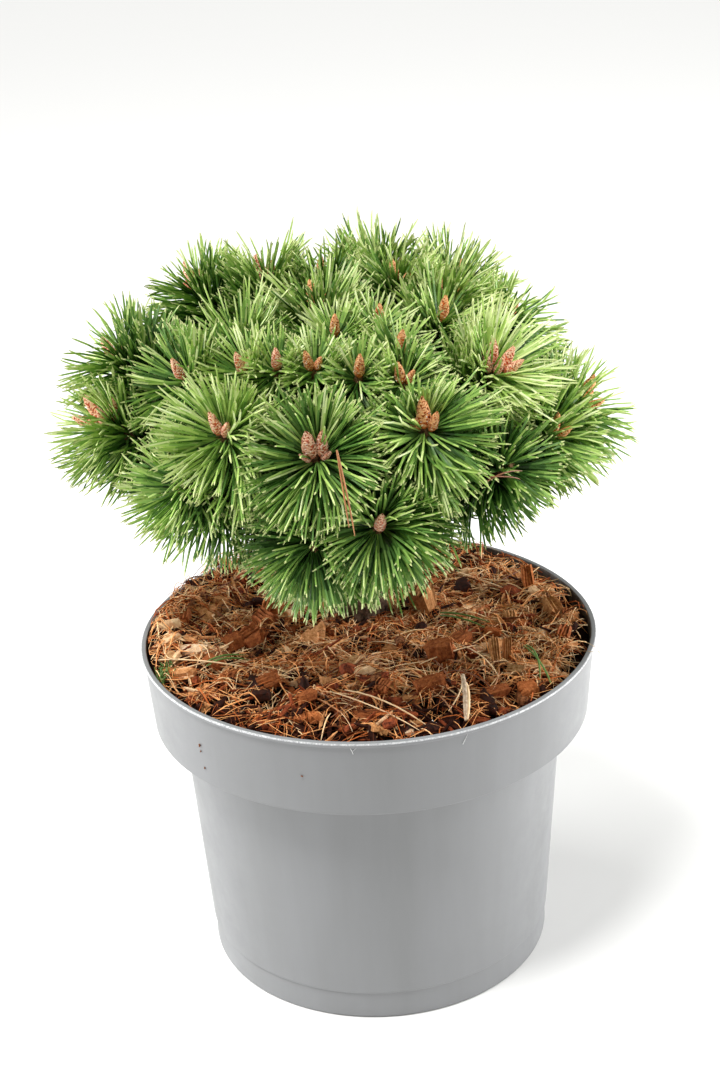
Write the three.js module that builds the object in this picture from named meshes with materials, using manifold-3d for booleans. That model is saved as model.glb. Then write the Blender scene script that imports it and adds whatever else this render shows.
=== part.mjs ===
// A dwarf mugo pine in a nursery container, in millimetres, +Z up.
// The origin is the centre of the container's flat underside, and -Y is the front.
// The trunk stands on the bark mulch, and its boughs leave it in a rising spiral. Each bough ends
// where one mass of foliage begins: a stem that forks to shoots, and each shoot is a slim core
// with needle sprays standing out of it all round, and a resinous bud at its tip.
import * as THREE from 'three';
import { mergeVertices } from 'three/addons/utils/BufferGeometryUtils.js';
import Module from 'manifold-3d';

const wasm = await Module();
wasm.setup();

// ---------------------------------------------------------------- driving dimensions
const CLEAR = 0.3; // gap between pieces that touch

const POT = {
  rimRadius: 111.5, height: 171, lipHeight: 2.6, lipOut: 1.2,
  collarFootRadius: 108.6, collarHeight: 39.5, shoulderRise: 4.5,
  bodyTopRadius: 95.0, bodyFootRadius: 87.6, footRadius: 86.6, footHeight: 15.5,
  wall: 1.6, floor: 2.2, corner: 2, segments: 48,
  drainCount: 6, drainRadius: 5.5, drainCircle: 66,
};
const MULCH = {
  level: 167, seatRadius: 26, // flat where the trunk stands
  edgeLevel: 166, heap: 5, heapAzimuth: -140, // heaped up behind, on the left
  relief: 2.4, rings: [42, 58, 74, 90], segments: 32,
  facetGap: 0.55, // its coarser facets stand this much further off the container's wall
  chips: 16, chipLength: [10, 19], chipWidth: [5, 10], chipThickness: 3.5, chipTilt: 0.4,
};
const TRUNK = {
  foot: [-5, 24], bend: [3, 14], top: [-9, 2], height: 100,
  footRadius: 11.5, topRadius: 5.2, flare: 5.5, flareHeight: 8, buttresses: 5, buttressDepth: 0.14,
  sides: 15, rings: 9,
};
const BOUGH = {
  lowest: 13, highest: 75, level: 0.3, // heights up the trunk; level is where flat boughs leave it
  spacing: 9, crowding: 62, relief: 120, // boughs this many degrees apart keep their roots spaced
  rootRadius: 4.0, tipRadius: 1.9, slimming: 0.42, sag: 0.16, sides: 5, rings: 4,
  standOff: 12, forkShare: 0.6, // how far short of its shoots' cores a bough ends
};
const STEM = { radius: 1.5, fork: 7, sides: 3, rings: 2 }; // forks this far from its bough
const CROWN = {
  centre: [-9, 0, 272], radii: [104, 100, 62],
  growth: [0, -0.25, 0.5], // every shoot leans this way, towards the light
};
const TUFT = {
  coreRadius: 9, coreLength: 15, smallCore: 0.85, // under this size a shoot has fewer sprays
  needle: 33, unevenness: 0.26, sweep: 0.42, // front sprays sweep towards the shoot's tip
  rearNeedle: 0.35, rearFrom: 0.1, rearTo: 0.95, bareRear: 0.86,
  budRadius: 3.2, budLength: 17, budSunk: 5,
};
const SPACE = { // what a needle spray keeps clear of, and the shortest that still grows
  betweenMasses: 0.7, overMulch: 2.5, roundLimbs: 0.8, sprayRadius: 5, steps: 14, shortest: 6,
};
const UNDERSIDE = { // hangs to the mulch in front, and climbs outwards everywhere else
  rise: 82, from: 26, run: 30, aside: [28, 52], // degrees off the front where it starts to climb
};

// Each bough's shoots: azimuth round the crown (0 in front, 90 on the right), elevation on its
// dome, then reach from its centre and size, both as shares of the crown's own.
const BOUGHS = {
  front_low_right: [[9, -4, 0.97, 0.86], [51, 7, 0.95, 0.76]],
  front_low_left: [[-8, -15, 0.93, 0.86], [5, -28, 0.8, 0.83], [-50, 6, 0.96, 0.9]],
  front_left: [[-35, 32, 1.0, 0.98]],
  front: [[-6, 27, 1.0, 1.02]],
  front_right: [[26, 33, 1.0, 0.98]],
  right_low: [[74, 8, 1.0, 0.85], [65, -3, 0.8, 0.6]],
  right: [[91, 8, 1.1, 0.88]],
  right_high: [[66, 43, 1.02, 1.06]],
  left_low: [[-73, -14, 0.88, 0.78], [-98, -10, 0.98, 0.8]],
  left: [[-89, 13, 1.08, 0.9]],
  left_high: [[-68, 45, 1.0, 0.84], [-102, 35, 1.2, 0.9], [-94, 62, 0.92, 0.95]],
  upper_left: [[-44, 56, 1.0, 0.66], [-29, 59, 1.0, 0.56]],
  upper_front: [[-11, 60, 1.0, 0.58], [10, 56, 1.0, 0.58]],
  upper_right: [[27, 51, 1.0, 0.62], [38, 63, 1.0, 0.6]],
  high_right: [[98, 61, 1.0, 0.82], [124, 54, 1.1, 0.95]],
  high_back_right: [[147, 60, 1.12, 0.95], [140, 42, 1.23, 0.95]],
  high_back: [[162, 52, 1.22, 1.0], [-174, 60, 1.12, 0.95]],
  high_back_left: [[-151, 56, 1.18, 1.0], [-134, 46, 1.3, 0.8]],
  right_back: [[118, 38, 1.13, 0.92], [112, 4, 1.04, 0.9]],
  left_back: [[-131, 28, 1.16, 0.92], [-122, 0, 1.04, 0.9]],
  back_right: [[146, 20, 1.12, 1.0], [139, -6, 1.02, 0.9]],
  back: [[172, 28, 1.14, 1.0], [166, -1, 1.04, 0.9]],
  back_left: [[-154, 30, 1.14, 1.0], [-155, -3, 1.02, 0.9]],
};
const TRUNK_TIP = { // the mass that the trunk itself ends in
  top: [[0, 79, 0.96, 0.6], [62, 77, 0.97, 0.6], [-158, 79, 0.94, 1.05]],
};

const FINISH = {
  pot: { color: 0x8b8d90, roughness: 0.55 },
  mulch: { color: 0x6e4022, roughness: 0.95 },
  bark: { color: 0x6a5140, roughness: 0.9 },
  needles: { color: 0x4f8a34, roughness: 0.5 },
};

// ---------------------------------------------------------------- small tools
const UP = new THREE.Vector3(0, 0, 1);
const rad = THREE.MathUtils.degToRad;
const { lerp, clamp, smoothstep } = THREE.MathUtils;
const vec = (p) => new THREE.Vector3(...p);
const mean = (points) =>
  points.reduce((a, b) => a.add(b), new THREE.Vector3()).divideScalar(points.length);

// A fixed number from 0 to 1 for a pair of counters, the same on every run.
function chance(i, k) {
  const s = Math.sin(i * 12.9898 + k * 78.233 + 0.37) * 43758.5453;
  return s - Math.floor(s);
}

// A three.js geometry as a solid that can be joined and cut.
function solid(geometry) {
  const bare = new THREE.BufferGeometry();
  const loose = geometry.index ? geometry.toNonIndexed() : geometry;
  bare.setAttribute('position', loose.getAttribute('position'));
  const merged = mergeVertices(bare, 1e-4);
  return new wasm.Manifold(new wasm.Mesh({
    numProp: 3,
    vertProperties: new Float32Array(merged.attributes.position.array),
    triVerts: new Uint32Array(merged.index.array),
  }));
}

function geometryOf(manifold) {
  const mesh = manifold.getMesh();
  return new THREE.BufferGeometry()
    .setAttribute('position', new THREE.BufferAttribute(mesh.vertProperties, mesh.numProp))
    .setIndex(new THREE.BufferAttribute(mesh.triVerts, 1));
}

const largest = (manifold) =>
  manifold.decompose().reduce((a, b) => (b.volume() > a.volume() ? b : a));

// The pieces as one solid; a scrap that none of them reaches is dropped.
const joined = (pieces) => largest(pieces.reduce((a, b) => a.add(b)));

// A turned solid round Z from [radius, height] points.
const turned = (profile, segments) =>
  new THREE.LatheGeometry(profile.map(([r, z]) => new THREE.Vector2(r, z)), segments)
    .rotateX(Math.PI / 2);

// A closed limb along a curve; radiusAt gives its radius at a share of the way.
function limb(curve, radiusAt, sides, rings) {
  const shape = new THREE.CylinderGeometry(1, 1, 1, sides, rings);
  const frames = curve.computeFrenetFrames(rings, false);
  const position = shape.getAttribute('position');
  const point = new THREE.Vector3();
  for (let i = 0; i < position.count; i++) {
    const share = position.getY(i) + 0.5;
    const ring = Math.round(share * rings);
    const radius = radiusAt(share);
    point.copy(curve.getPointAt(share))
      .addScaledVector(frames.normals[ring], position.getX(i) * radius)
      .addScaledVector(frames.binormals[ring], -position.getZ(i) * radius);
    position.setXYZ(i, point.x, point.y, point.z);
  }
  return solid(shape);
}

// ---------------------------------------------------------------- container
const SHOULDER = POT.height - POT.collarHeight;

function potSolid() {
  const under = SHOULDER - POT.shoulderRise;
  const lip = POT.rimRadius + POT.lipOut;
  const profile = [
    [0, 0], [POT.footRadius - POT.corner, 0], [POT.footRadius, POT.corner],
    [POT.footRadius, POT.footHeight - 1], [POT.bodyFootRadius, POT.footHeight],
    [POT.bodyTopRadius, under], [POT.collarFootRadius - 0.8, SHOULDER - 0.8],
    [POT.collarFootRadius, SHOULDER], [POT.rimRadius, POT.height - POT.lipHeight],
    [lip, POT.height - POT.lipHeight + 0.6], [lip, POT.height - 0.6], [lip - 0.7, POT.height],
    [POT.rimRadius - POT.wall, POT.height], [POT.collarFootRadius - POT.wall, SHOULDER + POT.wall],
    [POT.bodyTopRadius - POT.wall, under + POT.wall], [POT.footRadius - POT.wall, POT.footHeight],
    [POT.footRadius - POT.wall, POT.floor], [0, POT.floor],
  ];
  let pot = solid(turned(profile, POT.segments));
  for (let i = 0; i < POT.drainCount; i++) {
    const angle = i * 2 * Math.PI / POT.drainCount;
    const drill = new THREE.CylinderGeometry(POT.drainRadius, POT.drainRadius, POT.floor * 4, 8);
    drill.rotateX(Math.PI / 2)
      .translate(POT.drainCircle * Math.cos(angle), POT.drainCircle * Math.sin(angle), 0);
    pot = pot.subtract(solid(drill));
  }
  return pot;
}

// Radius of the container's inner wall at a height above its shoulder.
const innerRadius = (z) =>
  lerp(POT.collarFootRadius, POT.rimRadius, (z - SHOULDER) / POT.collarHeight) - POT.wall;

// ---------------------------------------------------------------- mulch
const MULCH_GAP = CLEAR + MULCH.facetGap;

// Height of the mulch's surface at a point.
function mulchHeight(x, y) {
  const [footX, footY] = TRUNK.foot;
  const away = Math.hypot(x - footX, y - footY);
  const out = Math.hypot(x, y) / innerRadius(MULCH.level);
  const settled = smoothstep(away, MULCH.seatRadius, MULCH.seatRadius * 1.6);
  const towards = Math.cos(Math.atan2(x, -y) - rad(MULCH.heapAzimuth));
  const heap = MULCH.heap * Math.max(0, towards) * smoothstep(out, 0.3, 0.8);
  const waves = Math.sin(x * 0.11 + 1.3) * Math.cos(y * 0.13 - 0.4) + 0.5 * Math.sin((x - y) * 0.21);
  const fall = (MULCH.level - MULCH.edgeLevel) * out ** 2;
  return MULCH.level + settled * (heap + MULCH.relief * waves - fall);
}

// The surface's rings run from the trunk's foot, level round it, out to the container's wall.
function mulchSolid() {
  const under = SHOULDER - POT.shoulderRise;
  const low = MULCH.edgeLevel - 9;
  const foot = POT.footRadius - POT.wall - MULCH_GAP;
  const profile = [
    [0, POT.floor + CLEAR], [foot, POT.floor + CLEAR], [foot, POT.footHeight],
    [POT.bodyTopRadius - POT.wall - MULCH_GAP, under + POT.wall + 1],
    [POT.collarFootRadius - POT.wall - MULCH_GAP, SHOULDER + POT.wall + 1],
    [innerRadius(low) - MULCH_GAP, low],
  ];
  const rings = [0, MULCH.seatRadius, ...MULCH.rings, innerRadius(MULCH.edgeLevel) - MULCH_GAP];
  const edge = rings.at(-1);
  rings.reverse().forEach((r) => profile.push([r, MULCH.level]));
  const body = turned(profile, MULCH.segments);
  const position = body.getAttribute('position');
  for (let i = 0; i < position.count; i++) {
    if (position.getZ(i) < MULCH.level - 0.01) continue;
    const inward = 1 - Math.hypot(position.getX(i), position.getY(i)) / edge;
    const x = position.getX(i) + TRUNK.foot[0] * inward;
    const y = position.getY(i) + TRUNK.foot[1] * inward;
    position.setXYZ(i, x, y, mulchHeight(x, y));
  }
  const chips = Array.from({ length: MULCH.chips }, (_, i) => chipSolid(i, edge));
  return joined([solid(body), ...chips]);
}

// One flat chip of bark, half bedded in the mulch.
function chipSolid(i, edge) {
  const angle = i * Math.PI * (3 - Math.sqrt(5));
  const reach = edge * lerp(0.45, 0.86, Math.sqrt((i + 0.5) / MULCH.chips));
  const x = reach * Math.cos(angle);
  const y = reach * Math.sin(angle);
  const length = lerp(...MULCH.chipLength, chance(i, 1));
  const width = lerp(...MULCH.chipWidth, chance(i, 2));
  const chip = new THREE.BoxGeometry(length, width, MULCH.chipThickness);
  chip.rotateX(lerp(-MULCH.chipTilt, MULCH.chipTilt, chance(i, 4)));
  chip.rotateY(lerp(-MULCH.chipTilt, MULCH.chipTilt, chance(i, 5)));
  chip.rotateZ(chance(i, 6) * Math.PI).translate(x, y, mulchHeight(x, y) + MULCH.chipThickness / 5);
  return solid(chip);
}

// ---------------------------------------------------------------- trunk
const TRUNK_FOOT = MULCH.level + CLEAR;
const trunkCurve = new THREE.QuadraticBezierCurve3(
  new THREE.Vector3(...TRUNK.foot, TRUNK_FOOT),
  new THREE.Vector3(...TRUNK.bend, TRUNK_FOOT + TRUNK.height / 2),
  new THREE.Vector3(...TRUNK.top, TRUNK_FOOT + TRUNK.height));

// The trunk's radius at a share of its height and an angle round it.
function trunkRadius(share, angle) {
  const flare = Math.exp(-share * TRUNK.height / TRUNK.flareHeight);
  const lobes = 1 + TRUNK.buttressDepth * flare * Math.cos(TRUNK.buttresses * angle);
  return (lerp(TRUNK.footRadius, TRUNK.topRadius, share) + TRUNK.flare * flare) * lobes;
}

// Level slices stacked up a leaning curve, so that the trunk's foot is flat; margin swells it.
function trunkSolid(margin) {
  const shape = new THREE.CylinderGeometry(1, 1, 1, TRUNK.sides, TRUNK.rings).rotateX(Math.PI / 2);
  const position = shape.getAttribute('position');
  for (let i = 0; i < position.count; i++) {
    const share = position.getZ(i) + 0.5;
    const [x, y] = [position.getX(i), position.getY(i)];
    const radius = Math.hypot(x, y) && trunkRadius(share, Math.atan2(y, x)) + margin;
    const centre = trunkCurve.getPoint(share);
    position.setXYZ(i, centre.x + x * radius, centre.y + y * radius, centre.z);
  }
  return solid(shape);
}

// ---------------------------------------------------------------- plan of the crown
// A shoot's tip on the dome, and the way it points: square to the dome, drawn towards the light.
function shootOf([azimuth, elevation, reach, size]) {
  const level = Math.cos(rad(elevation));
  const out = new THREE.Vector3(
    Math.sin(rad(azimuth)) * level, -Math.cos(rad(azimuth)) * level, Math.sin(rad(elevation)));
  const tip = out.clone().multiply(vec(CROWN.radii)).multiplyScalar(reach).add(vec(CROWN.centre));
  const axis = out.divide(vec(CROWN.radii)).normalize().add(vec(CROWN.growth)).normalize();
  const core = tip.clone().addScaledVector(axis, -TUFT.coreLength * size);
  return { tip, axis, size, core };
}

// The boughs in order of height. Each leaves the trunk as high as its shoots ask, but not where
// a lower bough has just left it the same way.
function planBoughs() {
  const boughs = Object.entries(BOUGHS).map(([name, rows]) => {
    const shoots = rows.map(shootOf);
    const target = mean(shoots.map((s) => s.core));
    const rise = clamp((target.z - CROWN.centre[2]) / CROWN.radii[2] + BOUGH.level, 0, 1);
    const heading = Math.atan2(target.x - TRUNK.top[0], TRUNK.top[1] - target.y);
    return { name, shoots, target, rise, heading, height: lerp(BOUGH.lowest, BOUGH.highest, rise) };
  }).sort((a, b) => a.height - b.height);
  boughs.forEach((bough, i) => {
    for (const lower of boughs.slice(0, i)) {
      const apart = Math.abs(Math.atan2(
        Math.sin(bough.heading - lower.heading), Math.cos(bough.heading - lower.heading)));
      if (apart > rad(BOUGH.crowding)) continue;
      bough.height = Math.max(
        bough.height, lower.height + BOUGH.spacing * (1 - apart / rad(BOUGH.relief)));
    }
    bough.curve = boughCurve(bough);
    bough.stems = stemCurves(bough.curve.getPoint(1), bough.curve.getTangent(1), bough.shoots);
  });
  return boughs;
}

// The mass on the trunk's own tip.
function planTip() {
  const [name, rows] = Object.entries(TRUNK_TIP)[0];
  const shoots = rows.map(shootOf);
  return { name, shoots, stems: stemCurves(trunkCurve.getPoint(1), UP, shoots) };
}

// A mass's own stems go on from where its bough ends, and fork to its shoots.
function stemCurves(end, way, shoots) {
  const start = end.clone().addScaledVector(way, CLEAR);
  const fork = start.clone().addScaledVector(way, STEM.fork);
  return shoots.map((shoot) => new THREE.CatmullRomCurve3([start, fork, shoot.core]));
}

// ---------------------------------------------------------------- boughs
function boughCurve({ shoots, target, rise, height }) {
  const root = trunkCurve.getPoint(height / TRUNK.height);
  const spread = shoots[0].core.distanceTo(target);
  const short = BOUGH.standOff + TUFT.coreLength * shoots[0].size + spread * BOUGH.forkShare;
  const tip = target.clone().lerp(root, short / target.distanceTo(root));
  const knee = root.clone().lerp(tip, 0.5);
  knee.z -= root.distanceTo(tip) * BOUGH.sag * (1 - rise);
  return new THREE.QuadraticBezierCurve3(root, knee, tip);
}

const boughRadius = (bough, share) =>
  lerp(BOUGH.rootRadius * (1 - BOUGH.slimming * bough.rise), BOUGH.tipRadius, share);

const boughSolid = (bough, sleeve) =>
  largest(limb(bough.curve, (share) => boughRadius(bough, share), BOUGH.sides, BOUGH.rings)
    .subtract(sleeve));

// ---------------------------------------------------------------- foliage
// Balls along every limb, which the needles of other masses keep clear of.
function limbGuards(boughs, masses) {
  const along = (curve, count, radiusAt, owner) => Array.from({ length: count + 1 }, (_, i) =>
    ({ owner, at: curve.getPoint(i / count), radius: radiusAt(i / count) }));
  return [
    ...along(trunkCurve, 16, (share) => trunkRadius(share, 0)),
    ...boughs.flatMap((bough) => along(bough.curve, 20, (share) => boughRadius(bough, share))),
    ...masses.flatMap((mass) =>
      mass.stems.flatMap((stem) => along(stem, 12, () => STEM.radius, mass.name))),
  ];
}

// The lowest that a needle spray may hang at a point.
function underside({ x, y }) {
  const [east, front] = [x - CROWN.centre[0], CROWN.centre[1] - y];
  const aside = smoothstep(Math.abs(Math.atan2(east, front)), ...UNDERSIDE.aside.map(rad));
  const out = Math.max(0, Math.hypot(east, front) - UNDERSIDE.from);
  return MULCH.level + MULCH.heap + SPACE.overMulch
    + UNDERSIDE.rise * aside * (1 - Math.exp(-out / UNDERSIDE.run));
}

// The longest that a needle spray may grow from its root: it stays on its own side of the plane
// half way to each neighbouring shoot, above the crown's underside, and off every limb.
function roomFor(root, way, wanted, shoot, owner, crown) {
  let room = wanted;
  for (const other of crown.shoots) {
    if (other === shoot) continue;
    const across = other.core.clone().sub(shoot.core);
    const half = across.length() / 2;
    across.normalize();
    const approach = way.dot(across);
    if (approach < 1e-3) continue;
    const gone = root.clone().sub(shoot.core).dot(across);
    room = Math.min(room, (half - SPACE.betweenMasses - gone) / approach);
  }
  for (let i = 0; i <= SPACE.steps && room > 0; i++) {
    const share = i / SPACE.steps;
    const point = root.clone().addScaledVector(way, room * share);
    const thick = SPACE.sprayRadius * (1 - share) + SPACE.roundLimbs;
    const blocked = point.z < underside(point) || crown.guards.some((guard) =>
      guard.owner !== owner && guard.at.distanceTo(point) < guard.radius + thick);
    if (blocked) return room * (share - 1 / SPACE.steps);
  }
  return room;
}

// One shoot's needles: a slim core whose every face is drawn out into a spray, the front ones
// swept forward and the rear ones short. A spray with no room stays a plain face.
function tuftSolid(shoot, seed, owner, crown) {
  const turn = new THREE.Quaternion().setFromUnitVectors(UP, shoot.axis);
  const place = (p) => p.clone().applyQuaternion(turn).add(shoot.core);
  const [radius, length] = [TUFT.coreRadius * shoot.size, TUFT.coreLength * shoot.size];
  const core = new THREE.OctahedronGeometry(1, shoot.size < TUFT.smallCore ? 1 : 2);
  core.rotateX(seed).rotateZ(seed).scale(radius, radius, length);
  const position = core.getAttribute('position');
  const points = [];
  for (let i = 0; i < position.count; i += 3) {
    const face = [0, 1, 2].map((k) => new THREE.Vector3().fromBufferAttribute(position, i + k));
    const middle = mean(face);
    const rear = smoothstep(-middle.z / length, TUFT.rearFrom, TUFT.rearTo);
    const way = middle.clone().divide(new THREE.Vector3(radius, radius, length)).normalize();
    way.z += TUFT.sweep * (1 - rear);
    way.normalize();
    const wanted = TUFT.needle * shoot.size * lerp(1, TUFT.rearNeedle, rear)
      * (1 + TUFT.unevenness * (chance(i, seed) - 0.5));
    const grown = rear > TUFT.bareRear ? 0
      : roomFor(place(middle), way.clone().applyQuaternion(turn), wanted, shoot, owner, crown);
    const spray = middle.clone().addScaledVector(way, grown);
    const faces = grown < SPACE.shortest ? [face]
      : [0, 1, 2].map((k) => [face[k], face[(k + 1) % 3], spray]);
    faces.flat().forEach((p) => points.push(...place(p).toArray()));
  }
  return solid(new THREE.BufferGeometry()
    .setAttribute('position', new THREE.BufferAttribute(new Float32Array(points), 3)));
}

function budSolid({ tip, axis, size }) {
  const turn = new THREE.Quaternion().setFromUnitVectors(UP, axis);
  const bud = new THREE.OctahedronGeometry(size)
    .scale(TUFT.budRadius, TUFT.budRadius, TUFT.budLength / 2)
    .translate(0, 0, (TUFT.budLength / 2 - TUFT.budSunk) * size);
  return solid(bud.applyQuaternion(turn).translate(...tip.toArray()));
}

function foliageSolid(mass, index, crown) {
  const stems = mass.stems.map((stem) => limb(stem, () => STEM.radius, STEM.sides, STEM.rings));
  const tufts = mass.shoots.map((shoot, k) =>
    tuftSolid(shoot, index * 3 + k + 1, mass.name, crown).add(budSolid(shoot)));
  return joined([...stems, ...tufts]);
}

// ---------------------------------------------------------------- assembly
const pine = new THREE.Group();
const materials = Object.fromEntries(Object.entries(FINISH).map(([name, look]) =>
  [name, new THREE.MeshStandardMaterial({ ...look, metalness: 0, flatShading: true })]));

function addNode(name, manifold, finish) {
  const mesh = new THREE.Mesh(geometryOf(manifold), materials[finish]);
  mesh.name = name;
  pine.add(mesh);
}

addNode('pot', potSolid(), 'pot');
addNode('mulch', mulchSolid(), 'mulch');
addNode('trunk', trunkSolid(0), 'bark');

const sleeve = trunkSolid(CLEAR);
const boughs = planBoughs();
boughs.forEach((bough) => addNode(`bough_${bough.name}`, boughSolid(bough, sleeve), 'bark'));

const masses = [...boughs, planTip()];
const crown = { shoots: masses.flatMap((m) => m.shoots), guards: limbGuards(boughs, masses) };
masses.forEach((mass, index) =>
  addNode(`foliage_${mass.name}`, foliageSolid(mass, index, crown), 'needles'));

export default pine;
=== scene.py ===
"""A potted dwarf mugo pine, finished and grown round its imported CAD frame.

Sizes are in millimetres, as in the part's own source, and become metres where a mesh is made.
The origin is the centre of the container's flat underside, +Z is up and -Y is the front.
"""

import logging
import math
from collections.abc import Callable, Iterable
from dataclasses import dataclass, field
from enum import Enum, IntEnum

import bpy
import numpy as np
from bpy.types import Collection, Material, Mesh, Node, NodeSocket, NodeTree, Object
from mathutils import Matrix, Vector
from numpy.random import Generator, default_rng


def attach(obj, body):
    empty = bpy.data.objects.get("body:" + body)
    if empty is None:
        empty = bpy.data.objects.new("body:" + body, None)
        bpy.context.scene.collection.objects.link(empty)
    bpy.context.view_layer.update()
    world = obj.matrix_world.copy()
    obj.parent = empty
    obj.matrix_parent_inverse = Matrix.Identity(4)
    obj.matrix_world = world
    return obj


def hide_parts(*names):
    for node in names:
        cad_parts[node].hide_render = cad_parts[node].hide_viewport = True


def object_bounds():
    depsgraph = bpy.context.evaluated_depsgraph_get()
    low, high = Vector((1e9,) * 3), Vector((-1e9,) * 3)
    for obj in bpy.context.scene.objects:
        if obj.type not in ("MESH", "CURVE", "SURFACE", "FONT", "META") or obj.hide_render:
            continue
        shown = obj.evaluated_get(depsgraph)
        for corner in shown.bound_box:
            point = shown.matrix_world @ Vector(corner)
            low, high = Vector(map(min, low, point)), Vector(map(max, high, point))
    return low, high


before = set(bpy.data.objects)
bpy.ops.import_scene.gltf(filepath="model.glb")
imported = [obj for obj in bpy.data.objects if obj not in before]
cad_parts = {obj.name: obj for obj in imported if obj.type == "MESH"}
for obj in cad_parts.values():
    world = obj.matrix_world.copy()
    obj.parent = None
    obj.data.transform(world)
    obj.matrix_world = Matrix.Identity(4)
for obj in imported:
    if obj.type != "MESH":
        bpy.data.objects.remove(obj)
cad_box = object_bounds()

log = logging.getLogger("mugo_pine")

MM = 0.001
GOLDEN_ANGLE = math.pi * (3 - math.sqrt(5))
UP = np.array([0.0, 0.0, 1.0])
TURN = 2 * math.pi
Array = np.ndarray
Numbers = float | Array


# ---- small tools
def linear(colour: str) -> tuple[float, float, float, float]:
    """Turn an sRGB hex colour to the linear values that a shader reads.

    Args:
        colour: Six hex digits, such as "8b8d90".

    Returns:
        Red, green, blue and an alpha of 1.
    """
    shares = [int(colour[i : i + 2], 16) / 255 for i in (0, 2, 4)]
    turned = [c / 12.92 if c <= 0.04045 else ((c + 0.055) / 1.055) ** 2.4 for c in shares]
    return (*turned, 1.0)


def add_node(tree: NodeTree, kind: str, settings: dict | None = None,
             inputs: dict | None = None) -> Node:
    """Add one node to a tree, with its settings and what its sockets hold or are linked to.

    Args:
        tree: The material's or the Geometry Nodes tree.
        kind: The node's Blender type.
        settings: Properties of the node by name.
        inputs: By socket name or number: another node's output, or a plain value.

    Returns:
        The new node.
    """
    node = tree.nodes.new(kind)
    for name, value in (settings or {}).items():
        setattr(node, name, value)
    for key, value in (inputs or {}).items():
        if isinstance(value, NodeSocket):
            tree.links.new(value, node.inputs[key])
        else:
            node.inputs[key].default_value = value
    return node


def unit(vectors: Array) -> Array:
    """Scale vectors to length one along their last axis."""
    return vectors / np.linalg.norm(vectors, axis=-1, keepdims=True)


def lerp(start: Numbers, end: Numbers, share: Numbers) -> Numbers:
    """Blend from start to end by a share from 0 to 1."""
    return start + (end - start) * share


def smoothstep(value: Numbers, low: float, high: float) -> Numbers:
    """Rise smoothly from 0 at low to 1 at high."""
    share = np.clip((value - low) / (high - low), 0, 1)
    return share * share * (3 - 2 * share)


def square_to(ways: Array) -> tuple[Array, Array]:
    """Give two unit vectors square to each way and to each other.

    Args:
        ways: Unit vectors, rows by 3.

    Returns:
        The two sets of vectors.
    """
    helper = np.where(np.abs(ways[..., 2:3]) < 0.9, UP, np.array([1.0, 0.0, 0.0]))
    first = unit(np.cross(helper, ways))
    return first, np.cross(ways, first)


def bezier(start: Array, knee: Array, end: Array, shares: Array) -> Array:
    """Points of a quadratic Bezier curve.

    Args:
        start: Where it starts.
        knee: Its middle control point.
        end: Where it ends.
        shares: Shares of the way.

    Returns:
        One point a share.
    """
    s = np.asarray(shares, float)[:, None]
    return (1 - s) ** 2 * start + 2 * s * (1 - s) * knee + s**2 * end


def hermite(start: Array, leaving: Array, end: Array, arriving: Array,
            shares: Array) -> Array:
    """Points of a smooth curve that leaves and arrives in given directions.

    Args:
        start: Where it starts.
        leaving: The way it leaves, whose length sets how far it keeps to it.
        end: Where it ends.
        arriving: The way it arrives, in the same sense.
        shares: Shares of the way.

    Returns:
        One point a share.
    """
    s = np.asarray(shares, float)[:, None]
    return ((2 * s**3 - 3 * s**2 + 1) * start + (s**3 - 2 * s**2 + s) * leaving
            + (3 * s**2 - 2 * s**3) * end + (s**3 - s**2) * arriving)


# ---- meshes
def linked(name: str, mesh: Mesh) -> Object:
    """Make an object of a mesh, and link it into the scene.

    Args:
        name: The object's name.
        mesh: Its mesh.

    Returns:
        The object.
    """
    made = bpy.data.objects.new(name, mesh)
    bpy.context.scene.collection.objects.link(made)
    return made


def keep(mesh: Mesh, label: str, kind: str, values: Array) -> None:
    """Keep a number or a vector for each of a mesh's points.

    Args:
        mesh: The mesh.
        label: The attribute's name.
        kind: "INT", "FLOAT" or "FLOAT_VECTOR".
        values: One row a point.
    """
    numbers = np.asarray(values, np.int32 if kind == "INT" else np.float32).ravel()
    slot = "vector" if kind == "FLOAT_VECTOR" else "value"
    mesh.attributes.new(label, kind, "POINT").data.foreach_set(slot, numbers)


def ring_faces(rings: int, count: int) -> list[tuple[int, ...]]:
    """Faces that join each ring of points to the next.

    Args:
        rings: Number of rings, whose points are numbered one ring after the other.
        count: Points in a ring, which run anticlockwise seen from the last ring.

    Returns:
        Corner numbers of each face, turned outwards.
    """
    faces = []
    for k in range(rings - 1):
        for i in range(count):
            low, high, j = k * count, (k + 1) * count, (i + 1) % count
            faces.append((low + i, low + j, high + j, high + i))
    return faces


def closed_faces(rings: int, count: int, clockwise: bool = False) -> list[tuple[int, ...]]:
    """Faces of a closed form made of rings, with a point in the middle of each end.

    Args:
        rings: Number of rings; the middles of the first and the last end are numbered after them.
        count: Points in a ring.
        clockwise: Whether a ring's points run clockwise, seen from the last ring.

    Returns:
        Corner numbers of each face, turned outwards.
    """
    faces = ring_faces(rings, count)
    last, middle = (rings - 1) * count, rings * count
    for i in range(count):
        j = (i + 1) % count
        faces += [(middle, j, i), (middle + 1, last + i, last + j)]
    return [(face[0], *face[:0:-1]) for face in faces] if clockwise else faces


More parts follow.
